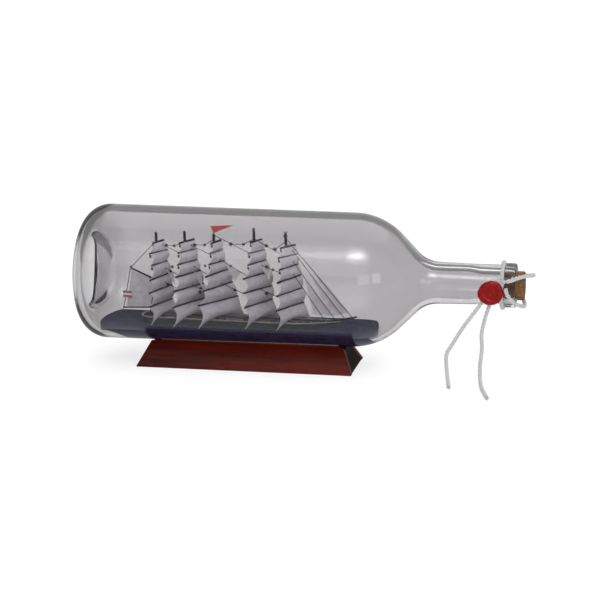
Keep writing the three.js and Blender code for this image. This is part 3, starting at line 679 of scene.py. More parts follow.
class ShipSettings(bpy.types.PropertyGroup):
    rake: FloatProperty(
        name="Rake", description="Lean of the masts towards the stern",
        default=math.radians(2.2), subtype="ANGLE",
    )
    belly: amount("Belly", "Depth of a sail as a share of its height", 0.4)
    paper: length("Paper", "Thickness of the sails", 0.3)
    thread: length("Thread", "Thickness of the rigging thread", 0.5)
    sail_colour: colour("Sails", "Colour of the sail paper", (0.62, 0.60, 0.655))
    stay_sail_colour: colour("Staysails", "Colour of the thin paper between the masts", (0.62, 0.61, 0.60))
    spar_colour: colour("Spars", "Colour of masts and yards", (0.004, 0.0035, 0.004))
    rail_colour: colour("Rail", "Colour of the rail's paint", (0.36, 0.36, 0.37))
    hull_colour: colour("Bulwark", "Colour of the hull's sides", (0.018, 0.019, 0.024))
    deck_colour: colour("Deck", "Colour of the deck", (0.06, 0.048, 0.042))
    pennant_colour: colour("Pennant", "Colour of the pennant", (0.52, 0.016, 0.008))


# ---------------------------------------------------------------- stage


def outwards(bearing, height):
    """The direction out of the bottle's near side, turned towards the neck by a bearing and raised by
    a height, both in degrees."""
    b, h = math.radians(bearing), math.radians(height)
    return Vector((math.sin(b) * math.cos(h), -math.cos(b) * math.cos(h), math.sin(h)))


class BOTTLE_OT_stage(bpy.types.Operator):
    """Camera, floor, even daylight and the lamps whose reflections lie on the glass"""

    bl_idname = "bottle.stage"
    bl_label = "Stage"

    def execute(self, context):
        settings = context.scene.bottle_stage
        scene = context.scene
        scene.view_settings.view_transform = "Standard"
        target = Vector((-4.45, 0, 49.2)) * MM
        back, distance = outwards(10.5, 12.2), 1.65
        camera = bpy.data.objects.new("camera", bpy.data.cameras.new("camera"))
        camera.data.lens, camera.data.sensor_width = settings.lens, 36
        camera.data.clip_start, camera.data.clip_end = 0.05, 60
        camera.location = target + back * distance
        camera.rotation_euler = (-back).to_track_quat("-Z", "Y").to_euler()
        scene.collection.objects.link(camera)
        scene.camera = camera

        side = 14.0
        square = np.array([[[-side, -side, 0], [-side, side, 0]], [[side, -side, 0], [side, side, 0]]])
        points, faces, _ = skin(square, wrap_columns=False, caps=False)
        mesh = bpy.data.meshes.new("floor")
        mesh.from_pydata(points.tolist(), [], faces[0].tolist())
        floor = bpy.data.objects.new("floor", mesh)
        f = Finish("floor", Roughness=0.9, Specular_IOR_Level=0.1, Emission_Strength=settings.glow)
        f.shader.inputs["Emission Color"].default_value = (1, 1, 1, 1)
        cloud = f.add("TexNoise", {"Vector": f.place, "Scale": 2.0})
        pale = solid_colour(settings.floor)
        f.drive("Base Color", f.mix(cloud.outputs["Fac"], pale, solid_colour(settings.floor, 0.99)))
        mesh.materials.append(f.material)
        scene.collection.objects.link(floor)
        floor.visible_glossy = False

        world = bpy.data.worlds.new("daylight")
        world.use_nodes = True
        sky = world.node_tree.nodes["Background"]
        sky.inputs["Color"].default_value = (1.0, 1.0, 1.0, 1)
        sky.inputs["Strength"].default_value = settings.daylight
        scene.world = world

        # Round lamps far off, each from its bearing off the front and its height, in degrees.
        domes = [("key", 5, 45, settings.key, 60), ("top light", 170, 62, settings.top_light, 60)]
        # What the shoulder mirrors is long and fades outwards: rows of discs, smaller and smaller.
        for width, share in ((32, 0.05), (20, 0.05), (9, 0.03)):
            for off in (-16, -5, 5, 16):
                domes.append((f"glint {width} {off}", 15 + off, 52, settings.glint * share, width))
        for name, bearing, height, strength, width in domes:
            light = bpy.data.lights.new(name, "SUN")
            light.energy, light.angle = strength, math.radians(width)
            lamp = bpy.data.objects.new(name, light)
            lamp.visible_glossy = name.startswith("glint")
            lamp.visible_diffuse = not lamp.visible_glossy
            lamp.rotation_euler = (-outwards(bearing, height)).to_track_quat("-Z", "Y").to_euler()
            scene.collection.objects.link(lamp)
        for name, bearing, width in (("left pane", 25, 0.44), ("right pane", 48, 0.32)):
            light = bpy.data.lights.new(name, "AREA")
            light.shape, light.size, light.size_y, light.energy = "RECTANGLE", width, 0.36, settings.window
            lamp = bpy.data.objects.new(name, light)
            place = Vector((0.06, 0, 0.3)) + 1.2 * outwards(bearing, 0)
            lamp.location = place
            lamp.rotation_euler = (target - place).to_track_quat("-Z", "Y").to_euler()
            scene.collection.objects.link(lamp)
        return {"FINISHED"}


# ---------------------------------------------------------------- cords

TAIL_SHORT = (
    (-21.3, -17.0, -5.9), (-24.7, -17.3, -11.7), (-35.5, -23.0, -26.7), (-43.2, -30.0, -39.2),
    (-46.5, -35.5, -45.8), (-45.1, -44.0, -55.7), (-43.2, -51.0, -62.9), (-42.3, -55.0, -64.4),
)
TAIL_LONG = (
    (-17.3, -16.9, -7.7), (-18.1, -17.3, -12.3), (-20.5, -21.5, -20.7), (-22.1, -28.5, -30.9),
    (-21.1, -34.0, -40.3), (-21.6, -40.5, -51.4), (-20.9, -46.0, -59.7), (-19.3, -52.5, -64.0),
    (-16.1, -65.0, -64.6), (-12.5, -80.0, -64.6),
)
CORK_TIE = (
    (-6.2, -17.5, 5.9), (-2.7, -17.2, 7.0), (3.1, -12.8, 8.6), (9.7, -5.0, 8.9), (12.1, 0.6, 8.0),
    (9.1, 7.6, 6.2), (2.5, 15.0, 4.8), (-3.5, 18.2, 3.0), (-6.1, 18.4, 0.2), (-2.5, 17.6, -4.6),
    (3.1, 12.2, -10.6), (6.1, 1.0, -14.6), (4.1, -8.4, -13.2), (-1.3, -15.8, -8.8),
    (-5.5, -18.0, -2.6), (-6.2, -18.1, 1.4),
)
CORD_CLEARANCE, CORD_RADIUS = 0.3, 1.5
NECK_LOOP_X = BOTTLE_LENGTH - LIP_WIDTH - CORD_CLEARANCE - CORD_RADIUS
NECK_LOOP_RADIUS = NECK_RADIUS + CORD_CLEARANCE + CORD_RADIUS
STRANDS = 3


def from_mouth(points):
    """Metres in the row's frame from millimetres beyond the mouth, across and above the axis."""
    return lying(np.asarray(points, float) + np.array([BOTTLE_LENGTH, 0, 0]))


def twisted(path, settings, reference, ends=True):
    """A three-strand cord: each section is the outline of three circles that touch, which is, at an
    angle off a strand's middle, the strand's distance times the cosine plus the root of its radius
    squared less the distance times the sine squared. The outline turns as it goes along."""
    sides, radius = 30, settings.diameter / 2 * 1.06
    step = np.linalg.norm(np.gradient(path, axis=0), axis=1)
    travelled = np.cumsum(step) - step[0]
    strand = radius / (1 + 2 / math.sqrt(3))
    reach = radius - strand
    angle = np.arange(sides)[None] * TAU / sides - travelled[:, None] * TAU / settings.twist
    off = (angle + math.pi / STRANDS) % (TAU / STRANDS) - math.pi / STRANDS
    outline = reach * np.cos(off) + np.sqrt(strand**2 - (reach * np.sin(off)) ** 2)
    if ends:
        from_end = np.minimum(travelled, travelled[-1] - travelled)[:, None]
        outline = outline * (0.75 + 0.25 * smooth(from_end / (radius * 0.8)))
    points, faces, uvs = tube(path, outline, sides, reference)
    lowest = outline.min()
    crown = (outline - lowest) / (outline.max() - lowest + 1e-9)
    crown = np.concatenate([crown.ravel(), [0.3, 0.3]])
    turns = travelled[-1] / settings.twist
    for uv in uvs:
        uv[..., 1] += uv[..., 0] * turns
    return (points, faces, uvs), crown


def frayed_end(tip, towards, settings, seed):
    """A brush of loose fibres at a cut end, each a short rod leaning out from the cord's axis."""
    rng, count = np.random.default_rng(seed), 30
    towards = np.asarray(towards) / np.linalg.norm(towards)
    around = rng.normal(size=(count, 3))
    around -= (around @ towards)[:, None] * towards
    around /= np.linalg.norm(around, axis=1, keepdims=True)
    reach = rng.uniform(0.1, 0.85, (count, 1)) * settings.diameter / 2
    start = tip + around * reach - towards * 0.6 * MM
    size = rng.uniform(0.9, 1.6, (count, 1)) * MM
    lean = rng.uniform(0.05, 0.45, (count, 1))
    end = start + (towards + around * lean) * size
    floor = 0.12 * MM
    start[:, 2] = np.maximum(start[:, 2], floor)
    end[:, 2] = np.maximum(end[:, 2], floor)
    return rods(np.stack([start, end], 1), np.array([[0.22 * MM, 0.12 * MM]]), 6)


def mark_crowns(made, crown):
    """Keeps how far each point stands out of the cord's hollows, for the cotton's shading."""
    values = np.full(len(made.data.vertices), 0.8, np.float32)
    values[: len(crown)] = crown
    made.data.attributes.new("crown", "FLOAT", "POINT").data.foreach_set("value", values)


class BOTTLE_OT_cords(bpy.types.Operator):
    """The cord tied round neck and cork, and its two free ends hanging from the seal"""

    bl_idname = "bottle.cords"
    bl_label = "Cords"

    def execute(self, context):
        settings = context.scene.bottle_cord
        cotton = cotton_finish(settings.cotton, settings.shadow)
        for name, route, steps, seed in (
            ("cord_tail_short", TAIL_SHORT, 150, 3),
            ("cord_tail_long", TAIL_LONG, 190, 4),
        ):
            path = smooth_path(from_mouth(route), steps)
            part, crown = twisted(path, settings, (1, 0, 0))
            fray = frayed_end(path[-1], path[-1] - path[-3], settings, seed)
            made = piece("free_" + name, [part, fray], cotton, "bottle", (name,))
            mark_crowns(made, crown)

        a = np.linspace(0, TAU, 221)[:-1]
        across, up = NECK_LOOP_RADIUS * np.cos(a), NECK_LOOP_RADIUS * np.sin(a)
        ring = np.stack([np.full_like(a, NECK_LOOP_X), across, up], -1)
        loop = lying(np.concatenate([ring, ring[:1]]))
        part, crown = twisted(loop, settings, (1, 0, 0), ends=False)
        rise = math.radians(17)
        reach = NECK_LOOP_RADIUS + 0.6
        centre = lying([NECK_LOOP_X, -reach * math.cos(rise), reach * math.sin(rise)])
        # An overhand knot is a trefoil: two turns one way while its depth goes back and forth thrice.
        s = np.linspace(0, TAU, 141)
        knot_x = 1.5 * np.sin(s) + 0.5 * np.sin(2 * s)
        knot_z = 1.1 * np.cos(s) - 0.7 * np.cos(2 * s)
        knot_path = centre + MM * np.stack([knot_x, 0.7 * np.cos(3 * s) - 0.3, knot_z], -1)
        knot, knot_crown = twisted(knot_path, settings, (0, 1, 0.001), ends=False)
        made = piece("neck_cord", [part, knot], cotton, "bottle", ("neck_loop",))
        mark_crowns(made, np.concatenate([crown, knot_crown]))

        path = smooth_path(from_mouth(CORK_TIE), 330)
        part, crown = twisted(path, settings, (0, 0.2, 1))
        made = piece("cork_cord", [part], cotton, "bottle", ("cork_tie",))
        mark_crowns(made, crown)
        return {"FINISHED"}


# ---------------------------------------------------------------- bottle, cork and seal


def shoulder():
    """The shoulder's arc, the throat's arc where the flank at 45 degrees meets it, and their centres."""
    centre = BODY_RADIUS - TAPER - SHOULDER_RADIUS
    outer = arc(centre, SHOULDER_X, SHOULDER_RADIUS, 0, 45, 25)
    throat_centre = NECK_ROOT + THROAT_RADIUS
    flank_end = throat_centre - THROAT_RADIUS * math.sqrt(0.5)
    throat_x = outer[-1, 1] + outer[-1, 0] - flank_end + THROAT_RADIUS * math.sqrt(0.5)
    return outer, centre, throat_centre, throat_x


def glass_outside():
    """The outside from the punt's tip, round the heel and up to the mouth, as (radius, x)."""
    outer, _, throat_centre, throat_x = shoulder()
    punt = arc(0, 0, 1, 89, 2, 24) * np.array([PUNT_RADIUS, PUNT_DEPTH])
    lip = BOTTLE_LENGTH - LIP_WIDTH
    return np.concatenate([
        punt,
        arc(BODY_RADIUS - HEEL_RADIUS, HEEL_RADIUS, HEEL_RADIUS, -90, 0, 24),
        outer,
        arc(throat_centre, throat_x, THROAT_RADIUS, 225, 180, 16),
        [[NECK_RADIUS, throat_x + NECK_TAPER], [NECK_RADIUS, lip], [LIP_RADIUS - 0.5, lip + 0.1]],
        [[LIP_RADIUS, lip + LIP_ROUND / 2]],
        arc(LIP_RADIUS - LIP_ROUND, BOTTLE_LENGTH - LIP_ROUND, LIP_ROUND, 0, 90, 7),
    ])


def glass_inside():
    """The inside from the mouth back to the top of the punt, as (radius, x)."""
    _, shoulder_centre, throat_centre, throat_x = shoulder()
    neck = NECK_ROOT - NECK_WALL
    heel_centre, heel = BODY_RADIUS - HEEL_RADIUS, HEEL_RADIUS - WALL
    dome = arc(0, 0, 1, 2, 89, 24) * np.array([heel_centre, PUNT_DEPTH]) + np.array([0, BASE_THICKNESS])
    return np.concatenate([
        arc(BORE_RADIUS + 0.5, BOTTLE_LENGTH - 0.5, 0.5, 90, 180, 5),
        [[BORE_RADIUS, BOTTLE_LENGTH - BORE_LENGTH], [neck, BOTTLE_LENGTH - BORE_LENGTH - BORE_TAPER]],
        arc(throat_centre, throat_x, throat_centre - neck, 180, 225, 16),
        arc(shoulder_centre, SHOULDER_X, SHOULDER_RADIUS - WALL, 45, 0, 25),
        arc(heel_centre, BASE_THICKNESS + heel, heel, 0, -90, 24),
        dome,
    ])


def inner_radius(x):
    """The glass's inner radius at x: between its heel and its neck."""
    _, shoulder_centre, throat_centre, throat_x = shoulder()
    heel = HEEL_RADIUS - WALL
    wall = np.concatenate([
        arc(BODY_RADIUS - HEEL_RADIUS, BASE_THICKNESS + heel, heel, -90, 0, 24),
        arc(shoulder_centre, SHOULDER_X, SHOULDER_RADIUS - WALL, 0, 45, 25),
        arc(throat_centre, throat_x, throat_centre - NECK_ROOT + NECK_WALL, 225, 180, 16),
    ])
    return np.interp(x, wall[:, 1], wall[:, 0])


def turned(profile, facets):
    """A profile of (radius, x) turned about the bottle's axis."""
    a = np.arange(facets) * TAU / facets
    radius, x = profile[:, :1], profile[:, 1:]
    return np.stack([np.broadcast_to(x, (len(profile), facets)), radius * np.cos(a), radius * np.sin(a)], -1)


class BOTTLE_OT_glass(bpy.types.Operator):
    """The blown glass: outside and inside turned as one closed wall"""

    bl_idname = "bottle.glass"
    bl_label = "Glass"

    def execute(self, context):
        settings = context.scene.bottle_glass
        profile = np.concatenate([glass_outside(), glass_inside()])
        part = skin(lying(turned(profile, settings.facets)))
        glass = glass_finish(settings.tint, settings.edge)
        piece("bottle_glass", [part], glass, "bottle", ("bottle",), sharp_angle=40)
        return {"FINISHED"}


class BOTTLE_OT_cork(bpy.types.Operator):
    """The cork pushed into the mouth, with a worn rim and pits"""

    bl_idname = "bottle.cork"
    bl_label = "Cork"

    def execute(self, context):
        settings = context.scene.bottle_glass
        bore, proud = BORE_RADIUS - 0.3, BORE_RADIUS + 0.4
        start, mouth, end = BOTTLE_LENGTH - 9, BOTTLE_LENGTH + 0.3, BOTTLE_LENGTH + 6
        ends_in = np.linspace(0.4, bore - 1.4, 12)
        ends_out = np.linspace(proud - 1.2, 0.4, 20)
        profile = np.concatenate([
            np.stack([ends_in, np.full(12, start)], -1),
            arc(bore - 0.8, start + 0.8, 0.8, -90, 0, 5),
            np.stack([np.full(30, bore), np.linspace(start + 1.2, mouth, 30)], -1),
            np.stack([np.full(14, proud), np.linspace(mouth + 0.7, end - 0.8, 14)], -1),
            arc(proud - 0.8, end - 0.8, 0.8, 10, 90, 6),
            np.stack([ends_out, np.full(20, end)], -1),
        ])
        grid = turned(profile, 128)
        dents = np.clip(noise(grid * np.array([0.9, 0.45, 0.9]) + 7, 11) - 0.35, 0, 1)
        dents += np.clip(noise(grid * 2.1, 12) - 0.5, 0, 1) * 0.8
        centre = np.array([(start + end) / 2, 0, 0])
        inwards = (centre - grid) / np.linalg.norm(centre - grid, axis=-1, keepdims=True)
        grid = grid + inwards * dents[..., None] * 0.55
        cork = cork_finish(settings.cork_light, settings.cork_dark)
        piece("cork_stopper", [skin(lying(grid))], cork, "bottle", ("cork",), sharp_angle=70)
        return {"FINISHED"}


class BOTTLE_OT_seal(bpy.types.Operator):
    """The pressed wax seal that holds the cord to the neck"""

    bl_idname = "bottle.seal"
    bl_label = "Wax seal"

    def execute(self, context):
        settings = context.scene.bottle_glass
        # The section, from the middle of the front out over the rim and back to the lug on the neck:
        # distance from the seal's middle, and distance from the bottle's axis.
        section = np.array([
            [0.15, 21.0], [1.2, 21.05], [1.6, 21.25], [2.1, 21.05], [3.3, 20.95], [4.4, 20.95], [4.9, 21.1],
            [5.3, 21.5], [5.9, 21.7], [6.6, 21.65], [7.5, 21.45], [8.3, 21.0], [8.85, 20.35], [9.0, 19.8],
            [8.6, 19.2], [7.8, 18.95], [6.0, 18.9], [4.2, 18.9], [3.2, 18.7], [2.9, 18.2], [2.9, 15.4],
            [1.0, 15.3],
        ])
        columns = 96
        a = np.arange(columns) * TAU / columns
        circle = np.stack([np.cos(a), np.sin(a), np.zeros(columns)], -1)
        wander = noise(circle * 1.7 + 5, 21) * 0.075 + noise(circle * 4.0, 22) * 0.03
        share = smooth((section[:, :1] - 5.2) / 3.0) * (section[:, 1:] > 18.6)
        radius = section[:, :1] * (1 + wander[None] * share)
        flat = np.stack([radius * np.cos(a), radius * np.sin(a), radius * 0], -1)
        out = section[:, 1:] + noise(flat * 0.6, 23) * 0.14
        grid = np.stack([radius * np.cos(a), -out, radius * np.sin(a)], -1)
        grid = grid + np.array([BOTTLE_LENGTH - 17.1, 0, -2.1])
        red = settings.wax
        wax = paint_finish("sealing wax", red, dimmed(red, 0.5), 260.0, 0.28, 0.5, 0.15, 0.05, 0.2)
        piece("seal_wax", [skin(lying(grid))], wax, "bottle", ("wax_seal",))
        return {"FINISHED"}


# ---------------------------------------------------------------- stand


class BOTTLE_OT_stand(bpy.types.Operator):
    """The four boards of the stand, with their edges eased and varnished"""

    bl_idname = "bottle.stand"
    bl_label = "Stand"

    def execute(self, context):
        settings = context.scene.bottle_stand
        # The end boards are the mahogany dimmed by a share, with their coat and gloss cut by it too: partly
        # darker end grain, partly painted shade, deepest on the right end.
        boards = (("front", "x", 1.0), ("back", "x", 1.0), ("left_end", "y", 0.2), ("right_end", "y", 0.12))
        for side, along, tone in boards:
            node = f"stand_{side}_board"
            shape = bmesh.new()
            shape.from_mesh(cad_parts[node].data)
            bmesh.ops.remove_doubles(shape, verts=shape.verts, dist=1e-6)
            bmesh.ops.dissolve_limit(shape, angle_limit=0.02, verts=shape.verts, edges=shape.edges)
            mesh = bpy.data.meshes.new(f"stand_{side}")
            shape.to_mesh(mesh)
            shape.free()
            light, dark = dimmed(settings.light, tone), dimmed(settings.dark, tone)
            wood = wood_finish(
                f"mahogany {side}", light, dark, along, 90.0, 2.6, 0.3, 0.06 * tone, 0.05, 0.08 * tone
            )
            made = finish_piece(f"stand_{side}", mesh, wood, "stand", (node,), None)
            mesh.polygons.foreach_set("use_smooth", np.zeros(len(mesh.polygons), bool))
            bevel = made.modifiers.new("eased edges", "BEVEL")
            bevel.width, bevel.segments, bevel.limit_method = settings.rounding, 3, "ANGLE"
            bevel.harden_normals = True
        return {"FINISHED"}


# ---------------------------------------------------------------- sea and hull


SEA_START, SEA_END, SEA_END_ROUND = 14.0, 224.0, 34.0
SEA_FALL, SEA_FALL_START = 5.5, 209.0
SEA_PRESSED = 0.12  # into the glass, so that no slit shows between them
HULL_GAP, HULL_BANK, HULL_DIP = 0.5, 1.6, 0.55
SEA_THIN, SEA_THICKENS, THICKENING_START, THICKENING = 0.9, 12.0, 22, 26
WAVE_X, WAVE_HALF_LENGTH = 201.0, 25.5


def sea_height(x, y, ripple):
    """Height of the putty above its level: short crossing ripples, a wave thrown up at the near side
    of the bow and a low one beyond it, each a smooth mound on an oval, and a fall at its end."""
    spots = np.stack([x * 0.22, y * 0.34, x * 0 + 1.5], -1)
    height = (noise(spots, 31) * 0.7 + noise(spots * 2.7, 32) * 0.3) * ripple / MM
    for crest, middle_y, half_width in ((6.2, -14.5, 9.5), (2.2, 15.5, 8.5)):
        off = np.hypot((x - WAVE_X) / WAVE_HALF_LENGTH, (y - middle_y) / half_width)
        height = height + crest * smooth(1.12 - off)
    return height - SEA_FALL * smooth((x - SEA_FALL_START) / (SEA_END - SEA_FALL_START))


HULL_POINTS = 46  # along each side, and round the stern
SHEER, SHEER_AFT, SHEER_FORE = 0.9, 26.0, 34.0


def hull_plan(clearance):
    """The outline of the hull grown by a clearance: half a round stern, then sides that close on the
    bow as one less the 2.2th power of the way to it. Starts at the bow and goes round."""
    half = BEAM / 2 + clearance
    t = np.linspace(1, 0, HULL_POINTS)
    bow_x = BOW_X - BOW_LENGTH + t * (BOW_LENGTH + clearance)
    bow_y = half * (1 - t**2.2)
    a = np.linspace(math.pi / 2, math.pi * 3 / 2, HULL_POINTS)
    stern_x = STERN_X + STERN_ROUND + np.cos(a) * (STERN_ROUND + clearance)
    x = np.concatenate([bow_x, stern_x, bow_x[:0:-1]])
    y = np.concatenate([bow_y, np.sin(a) * half, -bow_y[:0:-1]])
    return x, y


def half_beam(x, clearance):
    """Half the width of the grown outline at places along it, and nothing past its ends."""
    outline_x, outline_y = hull_plan(clearance)
    order = np.argsort(outline_x)
    return np.interp(x, outline_x[order], np.abs(outline_y[order]), 0, 0)


def sheer(x):
    """How far the rail rises at places along the hull: a smooth step towards each end."""
    aft, fore = (STERN_X + SHEER_AFT - x) / SHEER_AFT, (x - (BOW_X - SHEER_FORE)) / SHEER_FORE
    return SHEER * smooth(aft) + SHEER * smooth(fore)


class BOTTLE_OT_sea(bpy.types.Operator):
    """The painted putty sea that fills the bottom of the bottle, with its bow waves"""

    bl_idname = "bottle.sea"
    bl_label = "Sea"

    def execute(self, context):
        settings = context.scene.bottle_sea
        a = np.linspace(0, math.pi, 150)[1:-1]
        x = (SEA_START + SEA_END) / 2 - (SEA_END - SEA_START) / 2 * np.cos(a)
        from_end = np.clip(np.minimum(x - SEA_START, SEA_END - x) / SEA_END_ROUND, 0, 1)
        wall = inner_radius(x) + SEA_PRESSED
        to_wall = np.sqrt(wall**2 - SEA_LEVEL**2) - 0.02
        plan = np.minimum(to_wall, BODY_RADIUS * np.sqrt(1 - (1 - from_end) ** 2))
        across = np.sin(np.linspace(-math.pi / 2, math.pi / 2, 90))
        y = plan[:, None] * across[None]
        height = sea_height(x[:, None] + y * 0, y, settings.ripple)
        trim = smooth((1 - np.abs(across))[None] * plan[:, None] / 2.5)
        x_grid = x[:, None] + y * 0
        # The putty dips under the hull, so that it comes through neither the sides nor the deck.
        half_hull = half_beam(x, HULL_GAP)[:, None]
        clear_of_hull = np.where(half_hull > 0, smooth((np.abs(y) - half_hull) / HULL_BANK), 1.0)
        top = SEA_LEVEL + height * trim * clear_of_hull - HULL_DIP * (1 - clear_of_hull)
        top = np.minimum(top, np.sqrt(np.maximum(wall[:, None] ** 2 - y**2, 0)))
        bottom_y = y[:, ::-1]
        bottom = -np.sqrt(np.maximum(wall[:, None] ** 2 - bottom_y**2, SEA_LEVEL**2))
        # The putty thins out towards the bottle's base, where its underside leaves the glass.
        thick = SEA_THIN + SEA_THICKENS * smooth((x[:, None] - THICKENING_START) / THICKENING)
        bottom = np.maximum(bottom, SEA_LEVEL - thick)
        upper = np.stack([x_grid, y, top], -1)
        lower = np.stack([x_grid, bottom_y, np.minimum(bottom, SEA_LEVEL - 0.3 * trim[:, ::-1])], -1)
        part = skin(lying(np.concatenate([upper, lower[:, 1:-1]], 1)))
        putty = paint_finish(
            "navy putty", settings.crest, settings.trough, 150.0, 0.6, 0.9, 0.5, 0.0, 0.08
        )
        piece("putty_sea", [part], putty, "bottle", ("sea",), sharp_angle=60)
        return {"FINISHED"}


DECK_CENTRE = 0.02  # the share of the way out at which the deck's boards stop short of the middle line
# Each deck house's middle along the ship, length, width and height.
HOUSES = {"deck_house_aft": (67.5, 11.0, 6.0, 2.2), "deck_house_mid": (116.5, 15.0, 6.4, 2.6)}

# Each hatch's middle along the ship, length and height.
HATCHES = ((51, 3.2, 1.0), (92, 4.2, 0.9), (146, 4.4, 0.9), (171, 4.0, 1.0), (180, 2.6, 1.2))


class BOTTLE_OT_hull(bpy.types.Operator):
    """Hull with its rail, planked deck, deck houses, hatches and posts"""

    bl_idname = "bottle.hull"
    bl_label = "Hull"

    def execute(self, context):
        ship = context.scene.bottle_ship
        # Round the hull's outline: the bulwark's section, as (clearance, height).
        section = (
            (-0.6, -0.3), (-0.15, 0.4), (0.0, 1.4), (0.05, 2.6), (0.0, 3.3), (0.25, 3.45), (0.3, 3.75),
            (0.15, 3.95), (-0.5, 4.0), (-1.15, 3.9), (-1.2, 3.5), (-1.1, 3.3), (-1.1, 1.1), (-1.6, 0.6),
            (-1.7, -0.3),
        )
        rows = []
        for clearance, height in section:
            x, y = hull_plan(clearance)
            rows.append(np.stack([x, y, height + sheer(x) * max(0.0, min(1.0, height / 3))], -1))
        bulwark = skin(afloat(np.array(rows).transpose(1, 0, 2)), wrap_rows=True, caps=False)
        paint = hull_finish(ship.rail_colour, ship.hull_colour)
        piece("hull_rail", [bulwark], paint, "bottle", ("hull",), sharp_angle=50)

        x, y = hull_plan(-1.25)
        shares = np.linspace(1, DECK_CENTRE, 8)
        crown = zip(shares, 2.3 + 0.25 * (1 - shares**2))
        # As (share of the way out from the middle line, height): out below, and back over the crown.
        courses = ((DECK_CENTRE, 1.2), (1.0, 1.2), *crown)
        rows = [np.stack([x, y * share, np.full_like(x, height)], -1) for share, height in courses]
        boards = skin(afloat(np.array(rows)), caps=False)
        stain = dimmed(ship.deck_colour, 0.35)
        planks = wood_finish("deck planks", ship.deck_colour, stain, "x", 700.0, 2.0, 0.6, 0.1, 0.1)
        piece("deck_planks", [boards], planks, "bottle", ("deck",), sharp_angle=50)

        brown, black = dimmed(ship.deck_colour, 0.5), (0.012, 0.01, 0.01)
        stain = wood_finish("house stain", brown, black, "x", 600.0, 1.6, 0.5, 0.2, 0.06)
        chalk = paint_finish("white dots", (0.8, 0.8, 0.78), (0.5, 0.5, 0.48), 900.0, 0.5, 0.7)
        bead_places = []
        for name, (x, length, width, height) in HOUSES.items():
            aft, fore, side = x - length / 2, x + length / 2, width / 2
            walls = block(afloat((aft, -side, 2.5)), afloat((fore, side, 2.6 + height)), 0.3 * MM)
            eaves = (aft - 0.3, -side - 0.35, 2.5 + height * 0.82)
            roof = block(afloat(eaves), afloat((fore + 0.3, side + 0.35, 2.65 + height)), 0.35 * MM)
            piece(name + "_model", [walls, roof], stain, "bottle", (name,), sharp_angle=50)
            for y in (-side - 0.05, side + 0.05):
                ports = np.arange(aft + 1.2, fore - 0.6, 1.7)
                bead_places += [(port, y, 2.5 + height * 0.5) for port in ports]
        # Each rail post stands at the nearest point of the outline.
        outline_x, outline_y = hull_plan(-0.55)
        post_x = np.arange(50, 186, 5.2)
        edge = np.abs(outline_y)[np.abs(outline_x[:, None] - post_x).argmin(0)]
        posts = [
            [(x, side * y, 3.6), (x, side * y, 4.75 + rise)]
            for x, y, rise in zip(post_x, edge, sheer(post_x))
            for side in (-1, 1)
        ]
        dots = beads(afloat(bead_places), 0.42 * MM)
        piece("portholes", [dots], chalk, "bottle", ())
        piece("rail_posts", [rods(afloat(posts), 0.16 * MM, 6)], chalk, "bottle", ())

        hatches = []
        for x, size, height in HATCHES:
            low = afloat((x - size / 2, -size * 0.42, 2.4))
            high = afloat((x + size / 2, size * 0.42, 2.5 + height))
            hatches.append(block(low, high, 0.3 * MM))
        piece("hatches", hatches, stain, "bottle", (), sharp_angle=50)
        return {"FINISHED"}


# ---------------------------------------------------------------- masts, yards and sails


def raked(mast, points, rake):
    """Points by a mast, as (forward, across, height), leaned aft about its foot on the deck."""
    forward, across, height = np.moveaxis(np.asarray(points, float), -1, 0)
    lift = height - DECK_TOP
    x = mast["x"] + forward * math.cos(rake) - lift * math.sin(rake)
    z = DECK_TOP + forward * math.sin(rake) + lift * math.cos(rake)
    return afloat(np.stack([x, across, z], -1))


def braced(brace, across, forward, height):
    """A point across along a yard turned by a brace in degrees, and forward of it."""
    a = np.radians(brace)
    along_x = across * np.sin(a) + forward * np.cos(a)
    along_y = across * np.cos(a) - forward * np.sin(a)
    return np.stack(np.broadcast_arrays(along_x, along_y, height), -1)


# What shows is thicker than the rods that the places are worked out with.
ROYAL_THICK, YARD_THICK, TIP_THICK = 0.95, 0.8, 1.2 * MAST_TIP
# Thickness at top and foot of the dark teardrop marks under the yards' near ends.
DARK_MARK_THICK, DARK_MARK_THIN = 0.95, 0.6
YARD_AHEAD = 0.85  # from the front of the mast to a yard's middle, with the sails' heads between


def mast_radius(mast, height):
    return MAST_RADIUS + (MAST_TIP - MAST_RADIUS) * (height - 2.6) / (mast["top"] - 2.6)


